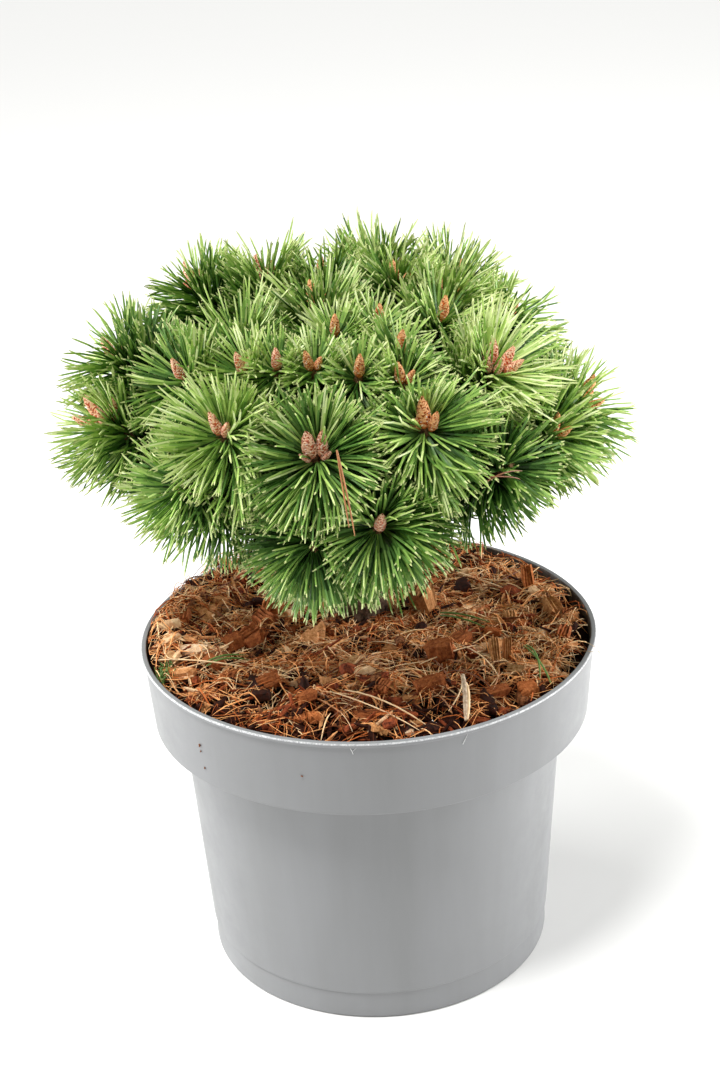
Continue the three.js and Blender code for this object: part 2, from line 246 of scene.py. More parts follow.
@dataclass
class Shape:
    """A mesh in the making, in millimetres.

    Attributes:
        points: Corners, rows by 3.
        faces: Corner numbers of each face, turned so that the face points outwards.
        parts: A number for each face, by which it is dealt its finish.
    """

    points: Array
    faces: list
    parts: list = field(default_factory=list)

    def to_object(self, name: str) -> Object:
        """Make the mesh in metres.

        Args:
            name: The object's name.

        Returns:
            Its object, linked into the scene.
        """
        mesh = bpy.data.meshes.new(name)
        mesh.from_pydata((np.asarray(self.points) * MM).tolist(), [], [list(f) for f in self.faces])
        if self.parts:
            mesh.attributes.new("part", "INT", "FACE").data.foreach_set("value", self.parts)
        mesh.shade_smooth()
        return linked(name, mesh)


@dataclass
class Strands:
    """Many slender things, each along its own path of as many points.

    Attributes:
        points: The paths in millimetres, rows by points by 3.
        thickness: Radius in millimetres at each point.
        tone: The number of each row's finish.
        shares: How far along its path each point is, from 0 to 1.
    """

    points: Array
    thickness: Array
    tone: Array
    shares: Array

    @classmethod
    def joined(cls, groups: Iterable["Strands"]) -> "Strands":
        """Put groups of strands with the same shares into one.

        Args:
            groups: The groups.

        Returns:
            All their strands.
        """
        groups = list(groups)
        return cls(np.concatenate([g.points for g in groups]),
                   np.concatenate([g.thickness for g in groups]),
                   np.concatenate([g.tone for g in groups]), groups[0].shares)

    def to_object(self, name: str) -> Object:
        """Make a mesh of bare paths, with what each point needs kept as attributes.

        Args:
            name: The object's name.

        Returns:
            The object, to be given a strand tree.
        """
        rows, count = self.points.shape[:2]
        first = (np.arange(rows)[:, None] * count + np.arange(count - 1)).ravel()
        mesh = bpy.data.meshes.new(name)
        mesh.vertices.add(rows * count)
        mesh.vertices.foreach_set("co", (self.points * MM).astype(np.float32).ravel())
        mesh.edges.add(len(first))
        mesh.edges.foreach_set("vertices", np.stack([first, first + 1], 1).astype(np.int32).ravel())
        flank = default_rng(rows).integers(0, 3, rows)
        keep(mesh, "thickness", "FLOAT", self.thickness * MM)
        keep(mesh, "share", "FLOAT", np.tile(self.shares, rows))
        keep(mesh, "tone", "INT", np.repeat(self.tone, count))
        keep(mesh, "flank", "INT", np.repeat(flank, count))
        return linked(name, mesh)


def euler_from(axes: Array, rolls: Array) -> Array:
    """Euler angles that turn +Z to each axis, after a roll about it.

    Args:
        axes: Unit vectors, rows by 3.
        rolls: Angles in radians.

    Returns:
        XYZ angles, rows by 3.
    """
    turned = []
    for axis, roll in zip(axes, rolls):
        turn = Vector(axis).to_track_quat("Z", "Y").to_matrix() @ Matrix.Rotation(roll, 3, "Z")
        turned.append(tuple(turn.to_euler("XYZ")))
    return np.array(turned)


def revolved(profile: list[tuple[float, float]], segments: int,
             wave: Callable[[float, float, Array], tuple] | None = None) -> Shape:
    """Turn a profile that starts and ends on the Z axis into a closed solid.

    Args:
        profile: Radius and height of each corner, from the underside outwards.
        segments: Steps round the axis.
        wave: Gives radius and height back for a radius, a height and the angles, or None.

    Returns:
        The solid's shape.
    """
    angles = np.arange(segments) * TURN / segments
    points, rings = [], []
    for radius, height in profile:
        if radius < 1e-6:
            rings.append([len(points)])
            points.append((0.0, 0.0, height))
            continue
        r, z = wave(radius, height, angles) if wave else (radius, height)
        start = len(points)
        rings.append(list(range(start, start + segments)))
        ring = np.stack([r * np.cos(angles), r * np.sin(angles), np.broadcast_to(z, angles.shape)], 1)
        points.extend(ring.tolist())
    faces = []
    for low, high in zip(rings, rings[1:]):
        for i in range(segments):
            j = (i + 1) % segments
            if len(low) == 1:
                faces.append((low[0], high[j], high[i]))
            elif len(high) == 1:
                faces.append((low[i], low[j], high[0]))
            else:
                faces.append((low[i], low[j], high[j], high[i]))
    return Shape(np.array(points), faces)


def rounded(corners: list[tuple[float, float, float]], steps: int = 6) -> list[tuple[float, float]]:
    """Round a profile's corners with arcs.

    Args:
        corners: Radius, height and rounding of each corner.
        steps: Steps in each arc.

    Returns:
        Radius and height of each point.
    """
    places = [np.array(c[:2]) for c in corners]
    out = [tuple(places[0])]
    for i in range(1, len(corners) - 1):
        here, bend = places[i], corners[i][2]
        if bend <= 0:
            out.append(tuple(here))
            continue
        back, onward = unit(places[i - 1] - here), unit(places[i + 1] - here)
        arc = bezier(here + back * bend, here, here + onward * bend, np.linspace(0, 1, steps))
        out.extend(map(tuple, arc))
    out.append(tuple(places[-1]))
    return out


# ---- Geometry Nodes
def new_tree(name: str, sizes: dict[str, tuple[str, float]]) -> tuple[NodeTree, Node]:
    """Start a Geometry Nodes tree with named inputs.

    Args:
        name: The tree's name.
        sizes: Socket type and default of each input, by name.

    Returns:
        The tree and its group input node.
    """
    tree = bpy.data.node_groups.new(name, "GeometryNodeTree")
    tree.interface.new_socket(name="Geometry", in_out="INPUT", socket_type="NodeSocketGeometry")
    for label, (kind, default) in sizes.items():
        socket = tree.interface.new_socket(name=label, in_out="INPUT", socket_type=kind)
        if kind != "NodeSocketCollection":
            socket.default_value = default
    tree.interface.new_socket(name="Geometry", in_out="OUTPUT", socket_type="NodeSocketGeometry")
    return tree, add_node(tree, "NodeGroupInput")


def deal_finishes(tree: NodeTree, geometry: NodeSocket, number: NodeSocket,
                  finishes: list[Material]) -> NodeSocket:
    """Give each face the finish whose place in the list is its number.

    Args:
        tree: The tree to add to.
        geometry: The geometry's socket.
        number: The socket that holds each face's number.
        finishes: The finishes in order.

    Returns:
        The finished geometry's socket.
    """
    for place, finish in enumerate(finishes):
        same = add_node(tree, "ShaderNodeMath", {"operation": "COMPARE"}, {0: number, 1: place, 2: 0.5})
        geometry = add_node(tree, "GeometryNodeSetMaterial", inputs={
            "Geometry": geometry, "Selection": same.outputs[0], "Material": finish}).outputs[0]
    return geometry


def add_relief(tree: NodeTree, geometry: NodeSocket,
               start: Node) -> NodeSocket:
    """Raise bark plates between cracks, with a finer grain over them.

    Args:
        tree: The tree to add to.
        geometry: The geometry's socket.
        start: The group input, which holds Plate density, Crack depth and Grain depth.

    Returns:
        The geometry's socket with its relief.
    """
    place = add_node(tree, "GeometryNodeInputPosition").outputs[0]
    drawn = add_node(tree, "ShaderNodeVectorMath", {"operation": "MULTIPLY"},
                     {0: place, 1: (1.0, 1.0, 0.55)}).outputs[0]
    shift = add_node(tree, "ShaderNodeTexNoise", inputs={"Vector": place, "Scale": 160.0}).outputs["Color"]
    bent = add_node(tree, "ShaderNodeVectorMath", {"operation": "SCALE"}, {0: shift, "Scale": 0.003})
    warped = add_node(tree, "ShaderNodeVectorMath", {"operation": "ADD"}, {0: drawn, 1: bent.outputs[0]})
    plates = add_node(tree, "ShaderNodeTexVoronoi", {"feature": "DISTANCE_TO_EDGE"},
                      {"Vector": warped.outputs[0], "Scale": start.outputs["Plate density"]})
    crack = add_node(tree, "ShaderNodeMapRange", {"interpolation_type": "SMOOTHSTEP"},
                     {"Value": plates.outputs["Distance"], 1: 0.0, 2: 0.16, 3: -1.0, 4: 0.0})
    deep = add_node(tree, "ShaderNodeMath", {"operation": "MULTIPLY"},
                    {0: crack.outputs[0], 1: start.outputs["Crack depth"]})
    grain = add_node(tree, "ShaderNodeTexNoise", inputs={"Vector": drawn, "Scale": 420.0, "Detail": 3.0})
    level = add_node(tree, "ShaderNodeMath", {"operation": "SUBTRACT"}, {0: grain.outputs[0], 1: 0.5})
    fine = add_node(tree, "ShaderNodeMath", {"operation": "MULTIPLY"},
                    {0: level.outputs[0], 1: start.outputs["Grain depth"]})
    total = add_node(tree, "ShaderNodeMath", {"operation": "ADD"}, {0: deep.outputs[0], 1: fine.outputs[0]})
    normal = add_node(tree, "GeometryNodeInputNormal").outputs["Normal"]
    offset = add_node(tree, "ShaderNodeVectorMath", {"operation": "SCALE"},
                      {0: normal, "Scale": total.outputs[0]})
    return add_node(tree, "GeometryNodeSetPosition",
                    inputs={"Geometry": geometry, "Offset": offset.outputs[0]}).outputs[0]


RELIEF_SIZES = {"Plate density": ("NodeSocketFloat", 150.0), "Crack depth": ("NodeSocketFloat", 0.0008),
                "Grain depth": ("NodeSocketFloat", 0.0006)}


STRAND_VALUES = {"thickness": "FLOAT", "tone": "INT", "share": "FLOAT", "flank": "INT", "corner": "FLOAT"}
SPOT_VALUES = {"turn": "FLOAT_VECTOR", "size": "FLOAT_VECTOR", "shape": "INT", "tone": "INT", "part": "INT"}


def strand_tree(name: str, finishes: list[Material], ends: bool = False,
                relief: bool = False, smooth: bool = True) -> NodeTree:
    """Build the tree that grows a closed strand along every path.

    Args:
        name: The tree's name.
        finishes: The finishes by tone; with ends, the last two are the root's and the tip's.
        ends: Whether the root and tip have finishes of their own, each stretch between them the
            next tone, and one flank a paler tone than the others.
        relief: Whether the strands get a bark's relief.
        smooth: Whether the strands are shaded round.

    Returns:
        The tree, whose inputs are Sides, the shares where stretches end and the relief's sizes.
    """
    sizes = {"Sides": ("NodeSocketInt", 3), "Root share": ("NodeSocketFloat", 0.0),
             "Inner share": ("NodeSocketFloat", 1.0), "Outer share": ("NodeSocketFloat", 1.0),
             "Tip share": ("NodeSocketFloat", 1.0),
             **(RELIEF_SIZES if relief else {})}
    tree, start = new_tree(name, sizes)
    value = {label: add_node(tree, "GeometryNodeInputNamedAttribute", {"data_type": kind},
                             {"Name": label}).outputs["Attribute"]
             for label, kind in STRAND_VALUES.items()}
    paths = add_node(tree, "GeometryNodeMeshToCurve", inputs={"Mesh": start.outputs["Geometry"]})
    ring = add_node(tree, "GeometryNodeCurvePrimitiveCircle",
                    inputs={"Resolution": start.outputs["Sides"], "Radius": 1.0})
    corner = add_node(tree, "GeometryNodeInputIndex").outputs[0]
    ring = add_node(tree, "GeometryNodeStoreNamedAttribute", {"data_type": "FLOAT", "domain": "POINT"},
                    {"Geometry": ring.outputs[0], "Name": "corner", "Value": corner})
    solid = add_node(tree, "GeometryNodeCurveToMesh", inputs={
        "Curve": paths.outputs[0], "Profile Curve": ring.outputs[0],
        "Scale": value["thickness"], "Fill Caps": True}).outputs[0]
    if relief:
        solid = add_relief(tree, solid, start)
    solid = add_node(tree, "GeometryNodeSetShadeSmooth",
                     inputs={"Geometry": solid, "Shade Smooth": smooth}).outputs[0]
    solid = add_node(tree, "GeometryNodeRealizeInstances", inputs={"Geometry": solid}).outputs[0]
    tone = value["tone"]
    if ends:
        # Each stretch outwards and the pale flank step up a tone: painted shade near the twig, and partly
        # painted highlight outwards and on the flank.
        for limit in ("Inner share", "Outer share"):
            past = add_node(tree, "ShaderNodeMath", {"operation": "GREATER_THAN"},
                            {0: value["share"], 1: start.outputs[limit]})
            tone = add_node(tree, "ShaderNodeMath", {"operation": "ADD"},
                            {0: tone, 1: past.outputs[0]}).outputs[0]
        middle = add_node(tree, "ShaderNodeMath", {"operation": "MULTIPLY_ADD"},
                          {0: value["flank"], 1: 0.5, 2: 0.5})
        pale = add_node(tree, "ShaderNodeMath", {"operation": "COMPARE"},
                        {0: value["corner"], 1: middle.outputs[0], 2: 0.2})
        tone = add_node(tree, "ShaderNodeMath", {"operation": "ADD"},
                        {0: tone, 1: pale.outputs[0]}).outputs[0]
    solid = deal_finishes(tree, solid, tone, finishes[:-2] if ends else finishes)
    if ends:
        for finish, test, limit in ((finishes[-2], "LESS_THAN", "Root share"),
                                    (finishes[-1], "GREATER_THAN", "Tip share")):
            chosen = add_node(tree, "ShaderNodeMath", {"operation": test},
                              {0: value["share"], 1: start.outputs[limit]})
            solid = add_node(tree, "GeometryNodeSetMaterial", inputs={
                "Geometry": solid, "Selection": chosen.outputs[0], "Material": finish}).outputs[0]
    add_node(tree, "NodeGroupOutput", inputs={"Geometry": solid})
    return tree


def scatter_tree(name: str, finishes: list[Material]) -> NodeTree:
    """Build the tree that sets a shape on every point.

    Args:
        name: The tree's name.
        finishes: The finishes, dealt by a point's tone plus its shape's part.

    Returns:
        The tree, whose inputs are Shapes and Growth.
    """
    tree, start = new_tree(name, {"Shapes": ("NodeSocketCollection", 0), "Growth": ("NodeSocketFloat", 1.0)})
    shapes = add_node(tree, "GeometryNodeCollectionInfo", inputs={
        "Collection": start.outputs["Shapes"], "Separate Children": True, "Reset Children": True})
    value = {label: add_node(tree, "GeometryNodeInputNamedAttribute", {"data_type": kind},
                             {"Name": label}).outputs["Attribute"]
             for label, kind in SPOT_VALUES.items()}
    turn = add_node(tree, "FunctionNodeEulerToRotation", inputs={0: value["turn"]})
    size = add_node(tree, "ShaderNodeVectorMath", {"operation": "SCALE"},
                    {0: value["size"], "Scale": start.outputs["Growth"]})
    placed = add_node(tree, "GeometryNodeInstanceOnPoints", inputs={
        "Points": start.outputs["Geometry"], "Instance": shapes.outputs[0], "Pick Instance": True,
        "Instance Index": value["shape"], "Rotation": turn.outputs[0],
        "Scale": size.outputs[0]})
    solid = add_node(tree, "GeometryNodeRealizeInstances", inputs={"Geometry": placed.outputs[0]})
    number = add_node(tree, "ShaderNodeMath", {"operation": "ADD"},
                      {0: value["tone"], 1: value["part"]})
    done = deal_finishes(tree, solid.outputs[0], number.outputs[0], finishes)
    add_node(tree, "NodeGroupOutput", inputs={"Geometry": done})
    return tree


def relief_tree(name: str, finish: Material) -> NodeTree:
    """Build the tree that gives a limb's mesh its bark relief and its finish.

    Args:
        name: The tree's name.
        finish: The bark's finish.

    Returns:
        The tree, whose inputs are the relief's sizes.
    """
    tree, start = new_tree(name, RELIEF_SIZES)
    solid = add_relief(tree, start.outputs["Geometry"], start)
    solid = add_node(tree, "GeometryNodeRealizeInstances", inputs={"Geometry": solid}).outputs[0]
    done = add_node(tree, "GeometryNodeSetMaterial", inputs={"Geometry": solid, "Material": finish})
    add_node(tree, "NodeGroupOutput", inputs={"Geometry": done.outputs[0]})
    return tree


def grown(made: Object, tree: NodeTree, sizes: dict) -> Object:
    """Run a tree on an object, and keep the result as its plain mesh.

    Args:
        made: The object to run it on.
        tree: The Geometry Nodes tree.
        sizes: What the tree's inputs are set to, by name.

    Returns:
        The same object.
    """
    modifier = made.modifiers.new(tree.name, "NODES")
    modifier.node_group = tree
    identifiers = {s.name: s.identifier for s in tree.interface.items_tree if s.in_out == "INPUT"}
    for label, value in sizes.items():
        modifier[identifiers[label]] = value
    return plain(made)


def plain(made: Object) -> Object:
    """Replace an object's mesh by what its modifiers make of it, and remove them.

    Args:
        made: The object.

    Returns:
        The same object, with no modifier and no helper attribute.
    """
    graph = bpy.context.evaluated_depsgraph_get()
    mesh = bpy.data.meshes.new_from_object(made.evaluated_get(graph), depsgraph=graph)
    made.modifiers.clear()
    old, made.data = made.data, mesh
    bpy.data.meshes.remove(old)
    for label in {**STRAND_VALUES, **SPOT_VALUES}:
        if label in mesh.attributes:
            mesh.attributes.remove(mesh.attributes[label])
    return made


def piece(made: Object, slot: str, nodes: Iterable[str] = ()) -> None:
    """Hand a finished object to the frame.

    Args:
        made: The object.
        slot: The material slot's name, which is only logged.
        nodes: The CAD nodes that it stands for.
    """
    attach(made, "root")
    if nodes:
        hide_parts(*nodes)
    made.data.calc_loop_triangles()
    log.info("%s: %d triangles, %s", made.name, len(made.data.loop_triangles), slot)


def hidden_collection(name: str, shapes: list[Shape]) -> Collection:
    """Keep shapes out of the scene, for a scatter tree to draw on.

    Args:
        name: The collection's name.
        shapes: The shapes, in the order of their numbers.

    Returns:
        The collection, which no scene holds.
    """
    kept = bpy.data.collections.new(name)
    for number, shape in enumerate(shapes):
        made = shape.to_object(f"{name}_{number:02d}")
        made.data.shade_flat()
        bpy.context.scene.collection.objects.unlink(made)
        kept.objects.link(made)
    return kept


def set_out(name: str, shapes: list[Shape], finishes: list[Material], places: Array, turns: Array,
            sizes: Array, tones: Array, picks: Array) -> Object:
    """Set a shape on each place, as one mesh.

    Args:
        name: The object's name.
        shapes: The shapes to pick from.
        finishes: The finishes, dealt by a place's tone plus its shape's part.
        places: Places in millimetres, rows by 3.
        turns: Euler angles, rows by 3.
        sizes: Scales along each axis, rows by 3.
        tones: The number of each one's finish.
        picks: The number of each one's shape.

    Returns:
        The object.
    """
    mesh = bpy.data.meshes.new(name)
    mesh.vertices.add(len(places))
    mesh.vertices.foreach_set("co", (places * MM).astype(np.float32).ravel())
    keep(mesh, "turn", "FLOAT_VECTOR", turns)
    keep(mesh, "size", "FLOAT_VECTOR", sizes)
    keep(mesh, "tone", "INT", tones)
    keep(mesh, "shape", "INT", picks)
    kept = hidden_collection(f"{name}_shape", shapes)
    return grown(linked(name, mesh), scatter_tree(f"set_{name}", finishes), {"Shapes": kept})


# ---- finishes
@dataclass(frozen=True)
class Surface:
    """What every finish here starts from: a Principled shader and its constants."""

    name: str
    colour: str
    roughness: float
    ior: float = 1.5
    specular: float = 0.5

    def start(self) -> tuple[Material, NodeTree, Node]:
        """Make the material with its Principled shader.

        Returns:
            The material, its tree and the shader.
        """
        made = bpy.data.materials.new(self.name)
        made.use_nodes = True
        tree = made.node_tree
        tree.nodes.clear()
        shader = add_node(tree, "ShaderNodeBsdfPrincipled", inputs={
            "Base Color": linear(self.colour), "Roughness": self.roughness, "IOR": self.ior,
            "Specular IOR Level": self.specular})
        add_node(tree, "ShaderNodeOutputMaterial", inputs={"Surface": shader.outputs[0]})
        made.diffuse_color = linear(self.colour)
        return made, tree, shader


@dataclass(frozen=True)
class WaxyNeedle(Surface):
    """A conifer needle's cuticle: a plain colour under a thin wax, glossy where it is clean.

    Attributes:
        wax: Size of a patch of wax in millimetres.
        roughest: Roughness where the wax is thick.
    """

    specular: float = 0.28
    wax: float = 1.43
    roughest: float = 0.55

    def build(self) -> Material:
        """Make the material, whose gloss is broken along the needle by its wax.

        Returns:
            The material.
        """
        made, tree, shader = self.start()
        place = add_node(tree, "ShaderNodeTexCoord").outputs["Object"]
        wax = add_node(tree, "ShaderNodeTexNoise",
                       inputs={"Vector": place, "Scale": 1 / (self.wax * MM), "Detail": 1.0})
        gloss = add_node(tree, "ShaderNodeMapRange", inputs={
            "Value": wax.outputs[0], 1: 0.3, 2: 0.7, 3: self.roughness, 4: self.roughest})
        tree.links.new(gloss.outputs[0], shader.inputs["Roughness"])
        return made


@dataclass(frozen=True)
class Mottled(Surface):
    """A natural surface of two colours, mottled at one real scale, with a fine bump.

    Dry plant matter reflects little, as its pores trap the light.

    Attributes:
        second: The other colour.
        patch: Size of a patch of colour in millimetres.
        grain: Size of the bump's grain in millimetres.
        bump: Depth of the bump in millimetres.
    """

    specular: float = 0.14
    second: str = "000000"
    patch: float = 4.0
    grain: float = 0.6
    bump: float = 0.25

    def build(self) -> Material:
        """Make the material.

        Returns:
            The material.
        """
        made, tree, shader = self.start()
        place = add_node(tree, "ShaderNodeTexCoord").outputs["Object"]
        patches = add_node(tree, "ShaderNodeTexNoise", inputs={
            "Vector": place, "Scale": 1 / (self.patch * MM), "Detail": 5.0, "Roughness": 0.65})
        share = add_node(tree, "ShaderNodeMapRange", inputs={"Value": patches.outputs[0], 1: 0.38, 2: 0.64})
        blend = add_node(tree, "ShaderNodeMix", {"data_type": "RGBA"}, {
            0: share.outputs[0], 6: linear(self.colour), 7: linear(self.second)})
        grain = add_node(tree, "ShaderNodeTexNoise", inputs={
            "Vector": place, "Scale": 1 / (self.grain * MM), "Detail": 3.0})
        relief = add_node(tree, "ShaderNodeBump", inputs={
            "Height": grain.outputs[0], "Distance": self.bump * MM, "Strength": 0.8})
        tree.links.new(blend.outputs[2], shader.inputs["Base Color"])
        tree.links.new(relief.outputs[0], shader.inputs["Normal"])
        return made


@dataclass(frozen=True)
class MouldedPolypropylene(Surface):
    """Injection-moulded polypropylene: even grey, matt from the mould's fine spark texture.

    It shows faint upright flow marks, fine scuffs and a few specks of dried soil. Real spark texture
    is finer than here, where it is as coarse as it needs to be to show. Sizes are in millimetres.

    Attributes:
        marks: Colour of the flow marks.
        dirt: Colour of the specks.
        flow: Width of a flow mark.
        speck_gap: Distance between specks, where there are any.
        soiled: Size of the patches that have specks.
        spark: Grain of the spark texture.
        scuff: Size of a scuff.
    """

    marks: str = "818283"
    dirt: str = "6a5240"
    flow: float = 23.8
    speck_gap: float = 26.3
    soiled: float = 71.4
    spark: float = 0.385
    scuff: float = 16.7

    def build(self) -> Material:
        """Make the material.

        Returns:
            The material.
        """
        made, tree, shader = self.start()
        place = add_node(tree, "ShaderNodeTexCoord").outputs["Object"]
        upright = add_node(tree, "ShaderNodeMapping", inputs={"Vector": place, "Scale": (1.0, 1.0, 0.12)})
        flow = add_node(tree, "ShaderNodeTexNoise", inputs={
            "Vector": upright.outputs[0], "Scale": 1 / (self.flow * MM), "Detail": 4.0, "Roughness": 0.6})
        tint = add_node(tree, "ShaderNodeMapRange", inputs={"Value": flow.outputs[0], 1: 0.3, 2: 0.7})
        body = add_node(tree, "ShaderNodeMix", {"data_type": "RGBA"}, {
            0: tint.outputs[0], 6: linear(self.colour), 7: linear(self.marks)})
        specks = add_node(tree, "ShaderNodeTexVoronoi", {"feature": "F1"},
                          {"Vector": place, "Scale": 1 / (self.speck_gap * MM), "Randomness": 1.0})
        dot = add_node(tree, "ShaderNodeMapRange", inputs={
            "Value": specks.outputs["Distance"], 1: 0.018, 2: 0.034, 3: 1.0, 4: 0.0})
        rare = add_node(tree, "ShaderNodeTexNoise",
                        inputs={"Vector": place, "Scale": 1 / (self.soiled * MM)})
        few = add_node(tree, "ShaderNodeMapRange", inputs={"Value": rare.outputs[0], 1: 0.52, 2: 0.58})
        amount = add_node(tree, "ShaderNodeMath", {"operation": "MULTIPLY"},
                          {0: dot.outputs[0], 1: few.outputs[0]})
        colour = add_node(tree, "ShaderNodeMix", {"data_type": "RGBA"}, {
            0: amount.outputs[0], 6: body.outputs[2], 7: linear(self.dirt)})
        spark = add_node(tree, "ShaderNodeTexNoise", inputs={
            "Vector": place, "Scale": 1 / (self.spark * MM), "Detail": 2.0})
        relief = add_node(tree, "ShaderNodeBump", inputs={
            "Height": spark.outputs[0], "Distance": 0.04 * MM, "Strength": 0.5})
        smear = add_node(tree, "ShaderNodeTexNoise", inputs={
            "Vector": place, "Scale": 1 / (self.scuff * MM), "Detail": 5.0, "Roughness": 0.7})
        gloss = add_node(tree, "ShaderNodeMapRange", inputs={
            "Value": smear.outputs[0], 1: 0.3, 2: 0.7, 3: self.roughness - 0.06, 4: self.roughness + 0.1})
        tree.links.new(colour.outputs[2], shader.inputs["Base Color"])
        tree.links.new(gloss.outputs[0], shader.inputs["Roughness"])
        tree.links.new(relief.outputs[0], shader.inputs["Normal"])
        return made


def mottled(rows: Iterable[tuple], **shared: float) -> list[Material]:
    """Build a set of mottled finishes.

    Args:
        rows: Name, two colours, roughness, patch in millimetres and bump of each.
        shared: Fields that all of them share.

    Returns:
        The materials, in the order of their rows.
    """
    return [Mottled(name, colour, roughness, second=second, patch=patch, bump=bump, **shared).build()
            for name, colour, second, roughness, patch, bump in rows]


def all_finishes() -> dict[str, list[Material]]:
    """Build every finish of the plant and its container.

    Returns:
        The finishes by what wears them, each list in the order of its parts' numbers.
    """
    made = {
        # The mould's spark texture leaves the shell matt; its lip's outer edge is lighter as a painted
        # highlight, and its inner wall is soil-stained and darker still as painted shade.
        "container": [
            MouldedPolypropylene("polypropylene, injection-moulded, grey", "88898b", 0.42).build(),
            *mottled([("polypropylene edge, burnished by handling", "d6d7d7", "9a9b9d", 0.35, 0.9, 0.05)],
                     grain=0.4),
            *mottled([("polypropylene, stained by wet soil", "5f5c58", "37302a", 0.55, 5.0, 0.05)],
                     specular=0.4, grain=0.5)],
        # Wet and rotted, so nearly black and without gloss, and darker still as painted shade for the gaps
        # under the topping.
        "soil": mottled([("composted bark, dark", "0f0401", "280f05", 0.95, 3.0, 0.8)], grain=0.8),
        # Dry bark scatters light in its pores: matt, red-brown, and paler where it has split.
        "chips": mottled([
            ("bark chip, red-brown", "9c4d2a", "44180a", 0.8, 2.5, 0.3),
            ("bark chip, brown", "98623d", "42200c", 0.8, 2.0, 0.3),
            ("bark chip, golden brown", "dba06c", "a36636", 0.75, 2.0, 0.25),
            ("wood chip, tan", "ecca9f", "c59468", 0.75, 3.0, 0.2),
            # The dark flake is darker still as painted shade, and is dealt mostly in the hollows and at the
            # front.
            ("bark flake, dark", "381406", "160601", 0.75, 2.0, 0.3)]),
        # Husk torn along its strands: matt, from red-brown to tan, with a few pale pieces.
        "husks": mottled([
            ("coconut husk, red-brown", "ad6638", "743a1c", 0.8, 1.6, 0.3),
            ("coconut husk, golden", "c08a58", "8c5a31", 0.8, 1.6, 0.3),
            ("coconut husk, orange", "bd7340", "8b4a22", 0.8, 1.6, 0.3),
            ("coconut husk, tan", "caa070", "97683f", 0.8, 1.6, 0.3),
            ("wood sliver, bleached", "dfc3a3", "b8916a", 0.8, 2.0, 0.2),
            ("perlite crumb, white", "f3efe8", "d8cfc2", 0.85, 1.0, 0.2)]),
        # Bare fibres with a faint sheen, from pale straw to dark russet.
        "coir": mottled([
            ("coir fibre, straw", "fddcae", "f4c68c", 0.65, 3.0, 0.05),
            ("coir fibre, golden", "f6b476", "e49858", 0.65, 3.0, 0.05),
            ("coir fibre, russet", "c46c36", "a85626", 0.65, 3.0, 0.05),
            ("coir fibre, dark", "6a3416", "50260e", 0.7, 3.0, 0.05)]),
        # Straw and fallen needles keep a little of their gloss.
        "litter": mottled([
            ("straw, dry", "eccea4", "deb888", 0.55, 5.0, 0.05),
            ("dead needle, tan", "b87e50", "9e683e", 0.5, 5.0, 0.05),
            ("fallen needle and moss, green", "648640", "52702e", 0.5, 4.0, 0.05)], specular=0.4),
        # Old bark is grey-brown and scaly, young bark smoother and tan.
        "bark": [
            *mottled([("mugo pine bark, scaly grey-brown", "6b5646", "3f2f24", 0.92, 3.5, 0.4)], grain=0.7),
            *mottled([("young pine bark, tan", "8a6a4a", "5e452f", 0.85, 2.0, 0.3)], grain=0.5)],
        # Wax breaks each needle's gloss. The greens run from shade green to pale green: darker near the twig
        # as painted shade, and paler outwards and on one flank partly as painted highlight, the flank also
        # being the pale stomatal side.
        "needles": [WaxyNeedle(*row).build() for row in (
            ("pine needle, shade green", "142c05", 0.36), ("pine needle, deep green", "2f5419", 0.34),
            ("pine needle, leaf green", "587f38", 0.33), ("pine needle, fresh green", "80a54c", 0.33),
            ("pine needle, bright green", "a8c468", 0.33), ("pine needle, lime green", "cfde98", 0.34),
            ("pine needle, pale green", "e2ecb8", 0.34), ("needle sheath, brown", "8a6c4a", 0.7),
            ("needle tip, yellow-green", "c5ce8c", 0.36))],
        # Scales lightly varnished by resin, each with a dry, pale fringe.
        "buds": mottled([
            ("bud scale, orange-brown", "e0743c", "ac5422", 0.5, 1.5, 0.1),
            ("bud scale fringe, light orange", "fac492", "e49b62", 0.6, 1.0, 0.1),
            ("bud scale, rose-brown", "e87e5a", "b2563c", 0.5, 1.5, 0.1),
            ("bud scale fringe, resinous pink", "fcd6ba", "e8a480", 0.6, 1.0, 0.1)], grain=0.4)}
    made["litter"] += mottled([("split stick, weathered grey", "cdb9a2", "9c8168", 0.85, 2.0, 0.3)],
                              grain=0.5)
    made["litter"] += mottled([
        ("dead needle and soil grain, brown", "845232", "6e4026", 0.55, 3.0, 0.05),
        ("polypropylene burr, white where scratched", "efefee", "e0e0df", 0.6, 1.0, 0.05)], specular=0.4)
    resin = mottled([("resin bead, dried", "f8f2e8", "ecdfcc", 0.25, 0.8, 0.03)],
                    ior=1.54, specular=0.5, grain=0.3)
    made["buds"] = [*made["buds"][:2], *resin, *made["buds"][2:], *resin]
    return made


# ---- plan of the plant
@dataclass(frozen=True)
class Shoot:
    """One shoot: where its tip stands, the way it points, and what it bears."""

    tip: Array
    axis: Array
    core: Array
    size: float
    buds: int
    freshness: float


class Sector(Enum):
    """The sides of the crown, each of whose needles make one piece."""

    FRONT = "front"
    LEFT = "left"
    RIGHT = "right"
    TOP = "top"
    BACK = "back"
    HIGH_BACK = "high_back"


@dataclass
class Limb:
    """A bough or the trunk's tip, and the shoots that it carries."""

    name: str
    shoots: list[Shoot]
    target: Array
    rise: float = 1.0
    heading: float = 0.0
    height: float = 0.0
    path: Array | None = None
    sector: Sector | None = None


